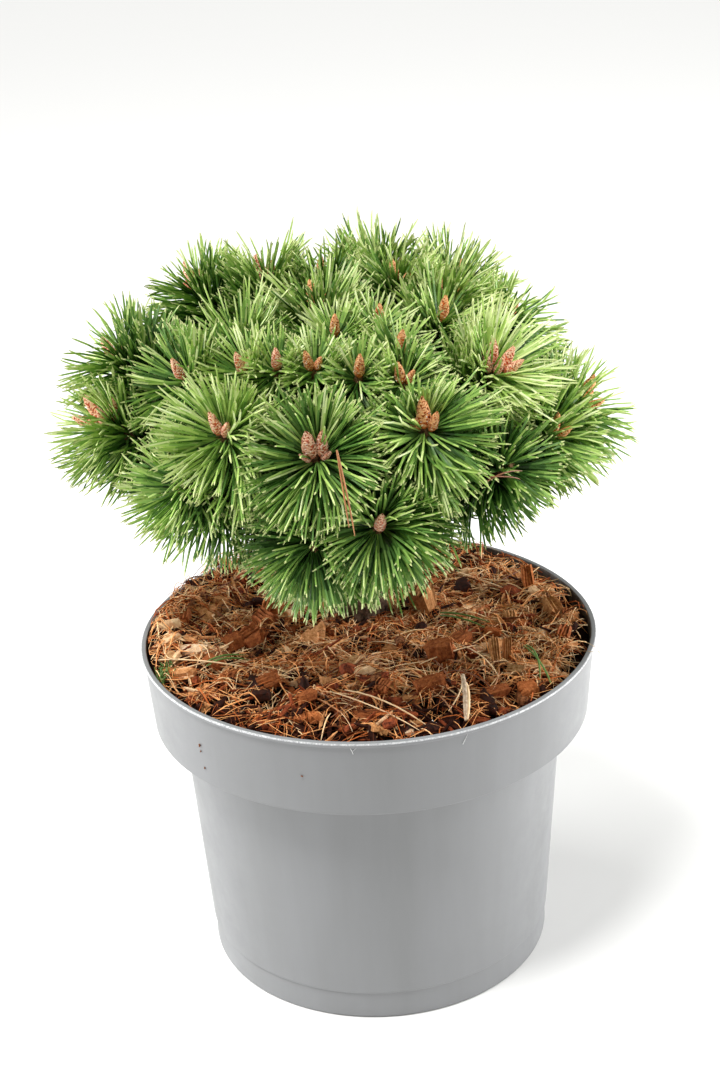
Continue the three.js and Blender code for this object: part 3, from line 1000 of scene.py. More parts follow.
@dataclass
class CrownPlan:
    """The rule by which the plant grows, as in the part's source, in millimetres.

    Each bough's rows hold a shoot's azimuth (0 in front, 90 on the right), its elevation on the
    dome, its reach and its size as shares of the crown's own, its number of buds, and how fresh
    its green is.
    """

    level: float = 167.0
    clear: float = 0.3
    trunk_foot: tuple = (-5.0, 24.0)
    trunk_bend: tuple = (3.0, 14.0)
    trunk_top: tuple = (-9.0, 2.0)
    trunk_height: float = 100.0
    lowest: float = 13.0
    highest: float = 75.0
    flat_level: float = 0.3
    spacing: float = 9.0
    crowding: float = 62.0
    relief: float = 120.0
    sag: float = 0.16
    stand_off: float = 12.0
    fork_share: float = 0.6
    centre: tuple = (-9.0, 0.0, 272.0)
    radii: tuple = (104.0, 100.0, 62.0)
    growth: tuple = (0.0, -0.25, 0.5)
    core_length: float = 15.0
    rows: dict = field(default_factory=lambda: {
        "front_low_right": (Sector.FRONT, [(9, -4, 0.97, 0.86, 1, 0.45), (51, 7, 0.95, 0.76, 0, 0.4)]),
        "front_low_left": (Sector.FRONT, [(-8, -15, 0.93, 0.86, 0, 0.35), (5, -28, 0.8, 0.83, 0, 0.2),
                                          (-47, 6, 0.95, 0.83, 0, 0.66)]),
        "front_left": (Sector.FRONT, [(-35, 32, 1.0, 0.98, 2, 0.9)]),
        "front": (Sector.FRONT, [(-6, 27, 1.0, 1.02, 4, 0.55)]),
        "front_right": (Sector.FRONT, [(26, 33, 1.0, 0.98, 3, 0.65)]),
        "right_low": (Sector.RIGHT, [(74, 8, 1.0, 0.85, 2, 0.6), (65, -3, 0.8, 0.6, 0, 0.3)]),
        "right": (Sector.RIGHT, [(91, 8, 1.1, 0.88, 7, 0.7)]),
        "right_high": (Sector.RIGHT, [(66, 43, 1.02, 1.06, 5, 0.95)]),
        "left_low": (Sector.LEFT, [(-73, -14, 0.88, 0.68, 0, 0.8), (-98, -10, 0.98, 0.7, 0, 0.75)]),
        "left": (Sector.LEFT, [(-89, 13, 1.08, 0.9, 6, 0.82)]),
        "left_high": (Sector.LEFT, [(-68, 45, 1.0, 0.84, 2, 0.55), (-102, 31, 1.2, 0.9, 2, 0.6),
                                    (-94, 62, 0.92, 0.95, 0, 0.65)]),
        "upper_left": (Sector.TOP, [(-44, 56, 1.0, 0.66, 2, 0.8), (-29, 59, 1.0, 0.56, 1, 0.8)]),
        "upper_front": (Sector.TOP, [(-11, 60, 1.0, 0.58, 2, 0.85), (10, 56, 1.0, 0.58, 1, 0.8)]),
        "upper_right": (Sector.TOP, [(27, 51, 1.0, 0.62, 2, 0.75), (38, 63, 1.0, 0.6, 1, 0.75)]),
        "high_right": (Sector.RIGHT, [(98, 61, 1.0, 0.82, 1, 0.75), (124, 54, 1.1, 0.95, 2, 0.75)]),
        "high_back_right": (Sector.HIGH_BACK, [(147, 60, 1.12, 1.04, 2, 0.65),
                                               (140, 42, 1.23, 1.02, 1, 0.7)]),
        "high_back": (Sector.HIGH_BACK, [(162, 52, 1.22, 1.0, 1, 0.65), (-174, 60, 1.12, 0.95, 1, 0.6)]),
        "high_back_left": (Sector.HIGH_BACK, [(-151, 56, 1.18, 1.0, 3, 0.7), (-134, 46, 1.3, 0.8, 3, 0.65)]),
        "right_back": (Sector.BACK, [(118, 38, 1.13, 0.92, 2, 0.6), (112, 4, 1.04, 0.9, 1, 0.45)]),
        "left_back": (Sector.LEFT, [(-131, 28, 1.16, 0.92, 2, 0.45), (-122, 0, 1.04, 0.9, 1, 0.35)]),
        "back_right": (Sector.BACK, [(146, 20, 1.12, 1.0, 3, 0.5), (139, -6, 1.02, 0.9, 0, 0.35)]),
        "back": (Sector.BACK, [(172, 28, 1.14, 1.0, 2, 0.55), (166, -1, 1.04, 0.9, 1, 0.35)]),
        "back_left": (Sector.BACK, [(-154, 30, 1.14, 1.0, 3, 0.5), (-155, -3, 1.02, 0.9, 1, 0.35)]),
        "top": (Sector.TOP, [(0, 79, 0.96, 0.6, 1, 0.75), (62, 77, 0.97, 0.6, 1, 0.75),
                             (-158, 79, 0.94, 1.05, 3, 0.65)]),
    })

    def trunk_points(self, shares: Array) -> Array:
        """Points up the trunk's middle.

        Args:
            shares: Shares of its height.

        Returns:
            One point a share.
        """
        foot = np.array([*self.trunk_foot, self.level + self.clear])
        bend = np.array([*self.trunk_bend, foot[2] + self.trunk_height / 2])
        top = np.array([*self.trunk_top, foot[2] + self.trunk_height])
        return bezier(foot, bend, top, shares)

    def shoot(self, row: tuple) -> Shoot:
        """Work out one shoot from its row.

        Args:
            row: Azimuth, elevation, reach, size, buds and freshness.

        Returns:
            The shoot.
        """
        azimuth, elevation, reach, size, buds, freshness = row
        a, e = math.radians(azimuth), math.radians(elevation)
        out = np.array([math.sin(a) * math.cos(e), -math.cos(a) * math.cos(e), math.sin(e)])
        radii = np.array(self.radii)
        tip = out * radii * reach + np.array(self.centre)
        axis = unit(unit(out / radii) + np.array(self.growth))
        return Shoot(tip, axis, tip - axis * self.core_length * size, size, buds, freshness)

    def limbs(self) -> list[Limb]:
        """Work out every bough, lowest first, and the trunk's own tip last.

        Returns:
            The limbs, each with its path from the trunk.
        """
        made = []
        for name, (sector, rows) in self.rows.items():
            shoots = [self.shoot(row) for row in rows]
            target = np.mean([s.core for s in shoots], axis=0)
            made.append(Limb(name, shoots, target, sector=sector))
        tip = made.pop()
        for limb in made:
            dome = (limb.target[2] - self.centre[2]) / self.radii[2]
            limb.rise = min(max(dome + self.flat_level, 0.0), 1.0)
            limb.heading = math.atan2(limb.target[0] - self.trunk_top[0], self.trunk_top[1] - limb.target[1])
            limb.height = lerp(self.lowest, self.highest, limb.rise)
        made.sort(key=lambda limb: limb.height)
        for i, limb in enumerate(made):
            for lower in made[:i]:
                gap = math.degrees(abs(math.atan2(math.sin(limb.heading - lower.heading),
                                                  math.cos(limb.heading - lower.heading))))
                if gap <= self.crowding:
                    limb.height = max(limb.height, lower.height + self.spacing * (1 - gap / self.relief))
            limb.path = self.bough_path(limb, np.linspace(0, 1, 72))
        tip.path = self.trunk_points(np.linspace(0.9, 1.0, 12))
        return [*made, tip]

    def bough_path(self, limb: Limb, shares: Array) -> Array:
        """Points along a bough's middle, from inside the trunk to where its shoots part.

        Args:
            limb: The bough.
            shares: Shares of the way.

        Returns:
            One point a share.
        """
        root = self.trunk_points(np.array([limb.height / self.trunk_height]))[0]
        spread = np.linalg.norm(limb.shoots[0].core - limb.target)
        short = self.stand_off + self.core_length * limb.shoots[0].size + spread * self.fork_share
        reach = np.linalg.norm(limb.target - root)
        tip = lerp(limb.target, root, short / reach)
        knee = lerp(root, tip, 0.5) - UP * np.linalg.norm(tip - root) * self.sag * (1 - limb.rise)
        return bezier(root, knee, tip, shares)


def twig_path(limb: Limb, shoot: Shoot, count: int = 24) -> Array:
    """Points from a bough's end along the twig to its shoot's tip.

    Args:
        limb: The bough.
        shoot: The shoot.
        count: Number of points.

    Returns:
        The points.
    """
    end = limb.path[-1]
    way = unit(end - limb.path[-4])
    far = np.linalg.norm(shoot.tip - end)
    shares = np.linspace(0, 1, count)
    return hermite(end - way * 1.5, way * far * 0.9, shoot.tip, shoot.axis * far * 0.9, shares)


# ---- container
@dataclass
class Container:
    """The nursery container, one turned and drilled shell.

    Its finishes are the shell's own, that of the lip's outer edge, which is lighter as a painted highlight,
    and that of the inner wall, which the fill has stained and which is darker still as painted shade.
    """

    finishes: list[Material]
    rim_radius: float = 111.5
    height: float = 171.0
    lip_height: float = 2.6
    lip_out: float = 1.2
    collar_foot_radius: float = 108.6
    collar_height: float = 39.5
    shoulder_rise: float = 4.5
    body_top_radius: float = 95.0
    body_foot_radius: float = 87.6
    foot_radius: float = 86.6
    foot_height: float = 15.5
    wall: float = 1.6
    floor: float = 2.2
    drain_count: int = 6
    drain_radius: float = 5.5
    drain_circle: float = 66.0
    segments: int = 192
    drill_reach: float = 5.0
    burnish: tuple = (1.2, 0.75)

    def inner_radius(self, height: float) -> float:
        """Radius of the inner wall at a height within the collar."""
        share = (height - self.height + self.collar_height) / self.collar_height
        return lerp(self.collar_foot_radius, self.rim_radius, share) - self.wall

    def profile(self) -> list[tuple[float, float]]:
        """The shell's outline from the middle of its underside round to the middle of its floor.

        Returns:
            Radius and height of each point.
        """
        shoulder = self.height - self.collar_height
        under = shoulder - self.shoulder_rise
        lip = self.rim_radius + self.lip_out
        w = self.wall
        return rounded([
            (0, 0, 0), (self.foot_radius - 9, 0, 0.8), (self.foot_radius - 8, 1.2, 0.8),
            (self.foot_radius - 5, 1.2, 0.8), (self.foot_radius - 4, 0, 0.8),
            (self.foot_radius, 0, 1.6), (self.foot_radius, self.foot_height - 0.8, 0.5),
            (self.body_foot_radius, self.foot_height, 0.4), (self.body_top_radius, under, 1.6),
            (self.collar_foot_radius - 1.4, shoulder - 1.0, 0.8), (self.collar_foot_radius, shoulder, 0.5),
            (self.rim_radius, self.height - self.lip_height, 0.4),
            (lip, self.height - self.lip_height + 0.5, 0.5), (lip, self.height, 0.9),
            (self.rim_radius - w, self.height, 0.7), (self.collar_foot_radius - w, shoulder + w, 1.2),
            (self.body_top_radius - w, under + w, 1.2), (self.foot_radius - w, self.foot_height, 1.0),
            (self.foot_radius - w, self.floor, 1.5), (0, self.floor, 0)])

    def uneven(self, radius: float, height: float, angles: Array) -> tuple:
        """A moulding's slight unevenness, which grows towards the rim.

        Args:
            radius: The even radius.
            height: The even height.
            angles: Angles round the axis.

        Returns:
            Radius and height at each angle.
        """
        share = (height / self.height) ** 3
        wave = 0.22 * np.sin(2 * angles + 0.6) + 0.12 * np.sin(5 * angles + 1.9)
        return radius - share * 0.25 + share * wave * 0.6, height - share * 0.12 * (1 + np.sin(3 * angles))

    def build(self) -> None:
        """Turn the shell, drill its drain holes and dress it."""
        shell = revolved(self.profile(), self.segments, self.uneven).to_object("container")
        for i in range(self.drain_count):
            angle = i * TURN / self.drain_count
            bore, reach = self.drain_radius, self.drill_reach
            drill = revolved([(0, -reach), (bore, -reach), (bore, reach), (0, reach)], 32)
            drill.points += np.array([math.cos(angle), math.sin(angle), 0]) * self.drain_circle
            tool = drill.to_object(f"drill_{i}")
            cut = shell.modifiers.new("drain", "BOOLEAN")
            cut.operation, cut.object, cut.solver = "DIFFERENCE", tool, "EXACT"
            plain(shell)
            bpy.data.objects.remove(tool)
        shell.data.materials.clear()
        for finish in self.finishes:
            shell.data.materials.append(finish)
        # The lip's outer edge, this far down and this far in, takes a lighter finish as a painted highlight.
        highlight_height, highlight_width = self.burnish
        lip = (self.rim_radius + self.lip_out - highlight_width) * MM
        for face in shell.data.polygons:
            out, level = face.center.xy, face.center.z / MM
            # The inner wall takes the stained finish, which is also darker as painted shade.
            inward = level > self.foot_height and face.normal.xy.dot(out.normalized()) < -0.6
            highlighted = level > self.height - highlight_height and out.length > lip
            face.material_index = 1 if highlighted else 2 * inward
        shell.data.set_sharp_from_angle(angle=math.radians(40))
        piece(shell, "pot", ["pot"])


# ---- mulch
@dataclass
class Mulch:
    """The container's fill, topped with bark chips and coir fibres.

    Between the two distances of a front, measured forwards from the axis, the topping gets sparser
    and darker. Lengths, widths, thicknesses and radii are the least and the greatest. Shares are
    those of the chips, blocks or fibres that take each finish. A row of blocks holds a block's place,
    its lift above the surface, its length, width and thickness, its heading and lean in degrees, and
    the number of its finish.
    """

    finishes: dict[str, list[Material]]
    container: Container
    plan: CrownPlan
    seat_radius: float = 26.0
    edge_level: float = 166.0
    heap: float = 5.0
    heap_azimuth: float = -140.0
    relief: float = 2.4
    gap: float = 0.5
    chip_count: int = 760
    shred_count: int = 1350
    husk_count: int = 70
    clumps: int = 330
    clump_fibres: int = 22
    loose_fibres: int = 3600
    topping: float = 3.0
    bank: tuple = (2.2, 3.2)
    brink: float = 169.8
    bed_depth: float = 3.6
    bed_hollow: float = 2.0
    bed_rings: int = 90
    bed_segments: int = 200
    chip_hollow: float = 2.8
    chip_front: tuple = (45.0, 80.0)
    chip_length: tuple = (5.0, 18.0)
    chip_shapes: int = 14
    chip_shares: tuple = (0.24, 0.2, 0.18, 0.16, 0.22)
    chip_shares_front_and_shaded: tuple = (0.27, 0.08, 0.01, 0.01, 0.63)
    shred_length: tuple = (8.0, 27.0)
    shred_width: tuple = (1.6, 4.6)
    shred_thickness: tuple = (0.6, 1.6)
    husk_length: tuple = (5.0, 11.0)
    husk_thickness: tuple = (2.2, 4.5)
    husk_shapes: int = 7
    husk_shares: tuple = (0.35, 0.3, 0.2, 0.15)
    clump_spread: float = 4.2
    matted_length: tuple = (7.0, 26.0)
    matted_radius: tuple = (0.13, 0.31)
    matted_bend: float = 0.42
    matted_shares: tuple = (0.29, 0.37, 0.24, 0.1)
    loose_length: tuple = (10.0, 44.0)
    loose_radius: tuple = (0.15, 0.43)
    loose_bend: float = 0.26
    loose_shares: tuple = (0.41, 0.31, 0.18, 0.1)
    trunk_clearance: float = 18.0
    front: tuple = (40.0, 80.0)
    blocks: tuple = (
        (34, -31, 4.5, 15, 12, 8, -8, 14, 0), (28, -62, 3.5, 17, 10, 6, 14, 10, 0),
        (28, 19, 7.0, 12, 11, 13, 60, 12, 1), (60, -38, 6.0, 15, 5, 4, 95, 50, 1),
        (66, -34, 5.5, 13, 4, 4, 82, 55, 1), (73, -66, 3.0, 10, 8, 7, 20, 6, 2),
        (57, -67, 3.5, 17, 6, 4, 18, 5, 0), (95, -15, 3.5, 9, 7, 7, 70, 10, 0),
        (93, 15, 4.5, 13, 9, 6, 110, 15, 1), (-58, -9, 4.5, 13, 10, 8, 40, 12, 0),
        (-48, 26, 4.5, 13, 10, 9, 75, 10, 2), (-66, -12, 3.5, 11, 8, 6, 20, 15, 0),
        (-51, 10, 4.0, 12, 9, 7, 130, 8, 0), (-9, -37, 4.0, 13, 7, 4, 30, 12, 3),
        (83, 41, 8.0, 15, 6, 5, 100, 65, 2), (-86, -20, 4.0, 17, 7, 2, -14, 6, 4),
        (27, -92, 2.5, 5, 3, 3, 50, 20, 5), (16, -98, 2.0, 6, 3, 2, 10, 5, 4),
        (-75, -30, 3.0, 11, 7, 4, 150, 8, 0), (6, -60, 3.0, 10, 6, 4, 60, 10, 0),
        (-30, -70, 3.0, 11, 6, 4, 20, 10, 0), (45, -15, 3.5, 11, 7, 5, 35, 12, 0),
        (-2, -84, 2.5, 16, 7, 4, -12, 6, 0), (-48, -52, 3.0, 13, 8, 4, 24, 10, 0))

    def height(self, x: Array, y: Array) -> Array:
        """Height of the mulch's surface at points.

        Args:
            x: Places across.
            y: Places towards the back.

        Returns:
            The heights.
        """
        foot_x, foot_y = self.plan.trunk_foot
        away = np.hypot(x - foot_x, y - foot_y)
        out = np.hypot(x, y) / self.container.inner_radius(self.plan.level)
        settled = smoothstep(away, self.seat_radius * 0.5, self.seat_radius * 1.6)
        towards = np.cos(np.arctan2(x, -y) - math.radians(self.heap_azimuth))
        heap = self.heap * np.maximum(0, towards) * smoothstep(out, 0.3, 0.8)
        waves = np.sin(x * 0.11 + 1.3) * np.cos(y * 0.13 - 0.4) + 0.5 * np.sin((x - y) * 0.21)
        fall = (self.plan.level - self.edge_level) * out**2
        return self.plan.level + settled * (heap + self.relief * waves - fall)

    def top(self, x: Array, y: Array) -> Array:
        """Height that loose bark and coir lie at, banked up at the back, and falling to the wall.

        Args:
            x: Places across.
            y: Places towards the back.

        Returns:
            The heights.
        """
        out = np.hypot(x, y) / self.container.inner_radius(self.plan.level)
        towards = np.maximum(0, np.cos(np.arctan2(x, -y) - math.radians(self.heap_azimuth)))
        bank = (self.bank[0] + self.bank[1] * towards) * smoothstep(y, -50, 10)
        banked = self.height(x, y) + bank * smoothstep(out, 0.7, 0.95)
        return banked - np.maximum(0, banked - self.brink) * smoothstep(out, 0.94, 0.995)

    def hollow(self, x: Array, y: Array) -> Array:
        """How far points lie in the hollows between clumps, from 0 to 1; chips there are darker as painted
        shade.
        """
        wave = np.sin(x * 0.27 + 1.7 * np.sin(y * 0.19) + 0.4) * np.sin(y * 0.33 + 1.4 * np.sin(x * 0.21))
        return smoothstep(wave, 0.15, 0.6)

    def bed(self) -> None:
        """The fill itself, whose top is rough ground."""
        pot = self.container
        shoulder = pot.height - pot.collar_height
        under = shoulder - pot.shoulder_rise
        edge = pot.inner_radius(self.edge_level) - self.gap
        foot = pot.foot_radius - pot.wall - self.gap
        inset = pot.wall + self.gap
        profile = [(0, pot.floor + 0.3), (foot, pot.floor + 0.3), (foot, pot.foot_height),
                   (pot.body_top_radius - inset, under + pot.wall + 1),
                   (pot.collar_foot_radius - inset, shoulder + pot.wall + 1)]
        profile += [(edge * r, self.plan.level) for r in np.linspace(1, 0, self.bed_rings)]
        shape = revolved(profile, self.bed_segments)
        points = shape.points
        top = points[:, 2] > self.plan.level - 0.01
        x, y = points[top, 0], points[top, 1]
        clods = np.sin(x * 0.9 + 2 * np.sin(y * 0.5)) * np.sin(y * 0.8 + 1.5 * np.sin(x * 0.6))
        rough = clods * lerp(2.2, 1.2, smoothstep(y, -80, -40))
        points[top, 2] = self.top(x, y) + (rough - self.bed_depth - self.bed_hollow * self.hollow(x, y))
        made = shape.to_object("mulch_bed")
        made.data.materials.append(*self.finishes["soil"])
        piece(made, "mulch", ["mulch"])

    def scattered(self, rng: Generator, margin: Array) -> Array:
        """Random places over the mulch, clear of the wall and the trunk's foot.

        Args:
            rng: The random generator.
            margin: Distance that each keeps from the wall.

        Returns:
            Points on the surface, rows by 3.
        """
        reach = self.container.inner_radius(self.edge_level) - margin
        radius = reach * np.sqrt(rng.random(len(margin)))
        angle = rng.random(len(margin)) * TURN
        foot_x, foot_y = self.plan.trunk_foot
        x, y = radius * np.cos(angle) - foot_x, radius * np.sin(angle) - foot_y
        away = np.maximum(1, self.trunk_clearance / np.hypot(x, y))
        x, y = x * away + foot_x, y * away + foot_y
        return np.stack([x, y, self.top(x, y)], 1)

    def chip(self, rng: Generator) -> Shape:
        """One irregular flake of bark, about 1 across, split along its layers.

        Args:
            rng: The random generator.

        Returns:
            Its shape, in units of its own length.
        """
        corners = int(rng.integers(6, 9))
        angles = np.sort(np.arange(corners) + rng.uniform(-0.3, 0.3, corners)) * TURN / corners
        radii = rng.uniform(0.36, 0.56, corners)
        outline = np.stack([radii * np.cos(angles), radii * 0.62 * np.sin(angles)], 1)
        rings, levels = [], ((0.86, -0.5), (1.0, -0.2), (0.97, 0.25), (0.8, 0.5))
        for spread, height in levels:
            jitter = rng.uniform(0.93, 1.05, (corners, 1))
            z = height + rng.uniform(-0.12, 0.12, corners)
            rings.append(np.column_stack([outline * spread * jitter, z]))
        points = np.concatenate([*rings, [[0, 0, -0.45], [0.05, 0, 0.62]]])
        faces = closed_faces(len(levels), corners)
        return Shape(points / MM, faces, [0] * len(faces))

    def husk(self, rng: Generator) -> Shape:
        """One torn block of coconut husk, ridged along its strands and ragged at both ends.

        Args:
            rng: The random generator.

        Returns:
            Its shape, in units of its own length.
        """
        columns, stations = 9, 5
        ridge = np.where(np.arange(columns) % 2, 0.12, -0.08) + rng.normal(0, 0.03, columns)
        across = np.linspace(-0.5, 0.5, columns)
        ring = np.column_stack([np.concatenate([across, across[::-1]]),
                                np.concatenate([0.5 + ridge, -0.5 - ridge])])
        count = len(ring)
        points = np.empty((stations, count, 3))
        for k, along in enumerate(np.linspace(-0.5, 0.5, stations)):
            ragged = rng.uniform(0, 0.24, count) * (k in (0, stations - 1))
            points[k, :, 0] = along * (1 - ragged * 1.6)
            points[k, :, 1:] = ring * rng.uniform(0.84, 1.04) + rng.normal(0, 0.02, (count, 2))
        faces = closed_faces(stations, count, clockwise=True)
        ends = [[-0.42, 0, 0], [0.42, 0, 0]]
        return Shape(np.concatenate([points.reshape(-1, 3), ends]) / MM, faces, [0] * len(faces))

    def chips(self) -> None:
        """Bark chips of every size and long shreds, strewn flat or tilted."""
        rng = default_rng(21)
        shapes = [self.chip(rng) for _ in range(self.chip_shapes)]
        chips, shreds = self.chip_count, self.shred_count
        count = chips + shreds
        length = np.concatenate([lerp(*self.chip_length, rng.random(chips) ** 2.0),
                                 lerp(*self.shred_length, rng.random(shreds) ** 1.6)])
        across = np.concatenate([length[:chips] * rng.uniform(0.5, 1.1, chips),
                                 rng.uniform(*self.shred_width, shreds)])
        thick = np.concatenate([1.4 + length[:chips] * rng.uniform(0.1, 0.24, chips),
                                rng.uniform(*self.shred_thickness, shreds)])
        places = self.scattered(rng, 1.5 + length / 2)
        front = smoothstep(-places[:, 1], *self.chip_front)
        sunk = self.hollow(places[:, 0], places[:, 1])
        places[:, 2] += rng.uniform(-2.6, self.topping, count) * lerp(1, 0.8, front) - self.chip_hollow * sunk
        tilt = rng.normal(0, 0.3, (count, 2)) * lerp(1, 1.3, front)[:, None]
        turns = np.column_stack([tilt, rng.random(count) * TURN])
        sizes = np.column_stack([length, across, thick]) * MM
        finishes = self.finishes["chips"]
        back = rng.choice(len(finishes), count, p=self.chip_shares)
        front_and_shaded = rng.choice(len(finishes), count, p=self.chip_shares_front_and_shaded)
        # Chips at the front, and those in the hollows as painted shade, mostly take the darker set.
        tones = np.where(rng.random(count) < np.maximum(front, sunk), front_and_shaded, back)
        made = set_out("mulch_chips", shapes, finishes, places, turns, sizes, tones,
                       rng.integers(0, len(shapes), count))
        piece(made, "mulch", ["mulch"])

    def husks(self) -> None:
        """Torn blocks of husk: the large ones where they lie, and small ones strewn between."""
        rng = default_rng(23)
        shapes = [self.husk(rng) for _ in range(self.husk_shapes)]
        table = np.array(self.blocks, float)
        x, y = table[:, 0], table[:, 1]
        large = np.column_stack([x, y, self.height(x, y) + table[:, 2]])
        count = self.husk_count
        length = rng.uniform(*self.husk_length, count)
        small = self.scattered(rng, 2 + length / 2) + UP * rng.uniform(0, 2.5, (count, 1))
        box = np.column_stack([length, length * rng.uniform(0.45, 0.8, count),
                               rng.uniform(*self.husk_thickness, count)])
        places, sizes = np.concatenate([large, small]), np.concatenate([table[:, 3:6], box])
        lean = np.concatenate([np.radians(table[:, 7]), rng.normal(0, 0.25, count)])
        heading = np.concatenate([np.radians(table[:, 6]), rng.random(count) * TURN])
        turns = np.column_stack([rng.normal(0, 0.15, len(places)), -lean, heading])
        tones = np.concatenate([table[:, 8], rng.choice(len(self.husk_shares), count, p=self.husk_shares)])
        made = set_out("husk_blocks", shapes, self.finishes["husks"], places, turns, sizes * MM, tones,
                       np.arange(len(places)) % len(shapes))
        piece(made, "mulch", ["mulch"])

    def laid(self, rng: Generator, start: Array, heading: Array, length: Array,
             bend: float, radius: Array, chances: tuple[float, ...]) -> Strands:
        """Fibres that lie over the ground, each with its middle at its place.

        Args:
            rng: The random generator.
            start: Their places, rows by 3.
            heading: The way each lies, in radians.
            length: Length of each.
            bend: How much they bend, in radians.
            radius: Radius of each.
            chances: Share of the fibres that each tone takes.

        Returns:
            The fibres.
        """
        count, steps = len(start), 5
        turn = rng.normal(0, bend, count)
        wobble = rng.normal(0, bend * 0.35, (count, steps))
        angles = heading[:, None] + turn[:, None] * np.linspace(-0.5, 0.5, steps) + np.cumsum(wobble, 1)
        step = (length / steps)[:, None]
        x = np.cumsum(np.cos(angles) * step, 1)
        y = np.cumsum(np.sin(angles) * step, 1)
        x += start[:, :1] - x.mean(1, keepdims=True)
        y += start[:, 1:2] - y.mean(1, keepdims=True)
        reach = self.container.inner_radius(self.edge_level) - 1.2
        inward = np.minimum(1, reach / np.hypot(x, y))
        x, y = x * inward, y * inward
        arch = np.sin(np.linspace(0, math.pi, steps)) * (rng.random(count)[:, None] ** 2) * 3.5
        slope = rng.normal(0, 1.4, count)[:, None] * np.linspace(-1, 1, steps)
        z = self.top(x, y) + rng.uniform(0.0, self.topping, count)[:, None] + arch + np.maximum(slope, -1)
        shares = np.linspace(0, 1, steps)
        taper = np.interp(shares, [0, 0.15, 0.8, 1], [0.6, 1, 0.9, 0.35])
        darker = rng.random(count) < 0.8 * smoothstep(-start[:, 1], *self.front)
        tones = np.minimum(rng.choice(len(chances), count, p=chances) + darker, len(chances) - 1)
        return Strands(np.stack([x, y, z], 2), radius[:, None] * taper, tones, shares)

    def fibres(self) -> None:
        """Coir fibres, one piece matted in clumps that lie one way and one strewn loose over it."""
        rng = default_rng(22)
        middles = self.scattered(rng, np.full(self.clumps, 7.0))
        leans = rng.random(self.clumps) * TURN
        clump = np.repeat(np.arange(self.clumps), self.clump_fibres)
        matted = middles[clump] + rng.normal(0, self.clump_spread, (len(clump), 3)) * [1, 1, 0]
        kept = lerp(0.74, 0.3, smoothstep(-matted[:, 1], *self.front))
        kept = kept * (1 - 0.85 * self.hollow(matted[:, 0], matted[:, 1]))
        thinned = rng.random(len(clump)) < kept
        matted, clump = matted[thinned], clump[thinned]
        count = len(clump)
        mat = self.laid(rng, matted, leans[clump] + rng.normal(0, 0.4, count),
                        lerp(*self.matted_length, rng.random(count) ** 1.4), self.matted_bend,
                        lerp(*self.matted_radius, rng.random(count) ** 2), self.matted_shares)
        places = self.scattered(rng, np.full(self.loose_fibres, 4.0))
        places = places[rng.random(len(places)) < lerp(1, 0.5, smoothstep(-places[:, 1], *self.front))]
        count = len(places)
        strewn = self.laid(rng, places, rng.random(count) * TURN,
                           lerp(*self.loose_length, rng.random(count) ** 1.7), self.loose_bend,
                           lerp(*self.loose_radius, rng.random(count) ** 2.5), self.loose_shares)
        tree = strand_tree("draw_fibres", self.finishes["coir"])
        for name, strands in (("coir_matted", mat), ("coir_loose", strewn)):
            piece(grown(strands.to_object(name), tree, {"Sides": 3}), "mulch", ["mulch"])

    def build(self) -> None:
        """Fill the container, and strew the topping over the fill."""
        self.bed()
        self.chips()
        self.husks()
        self.fibres()


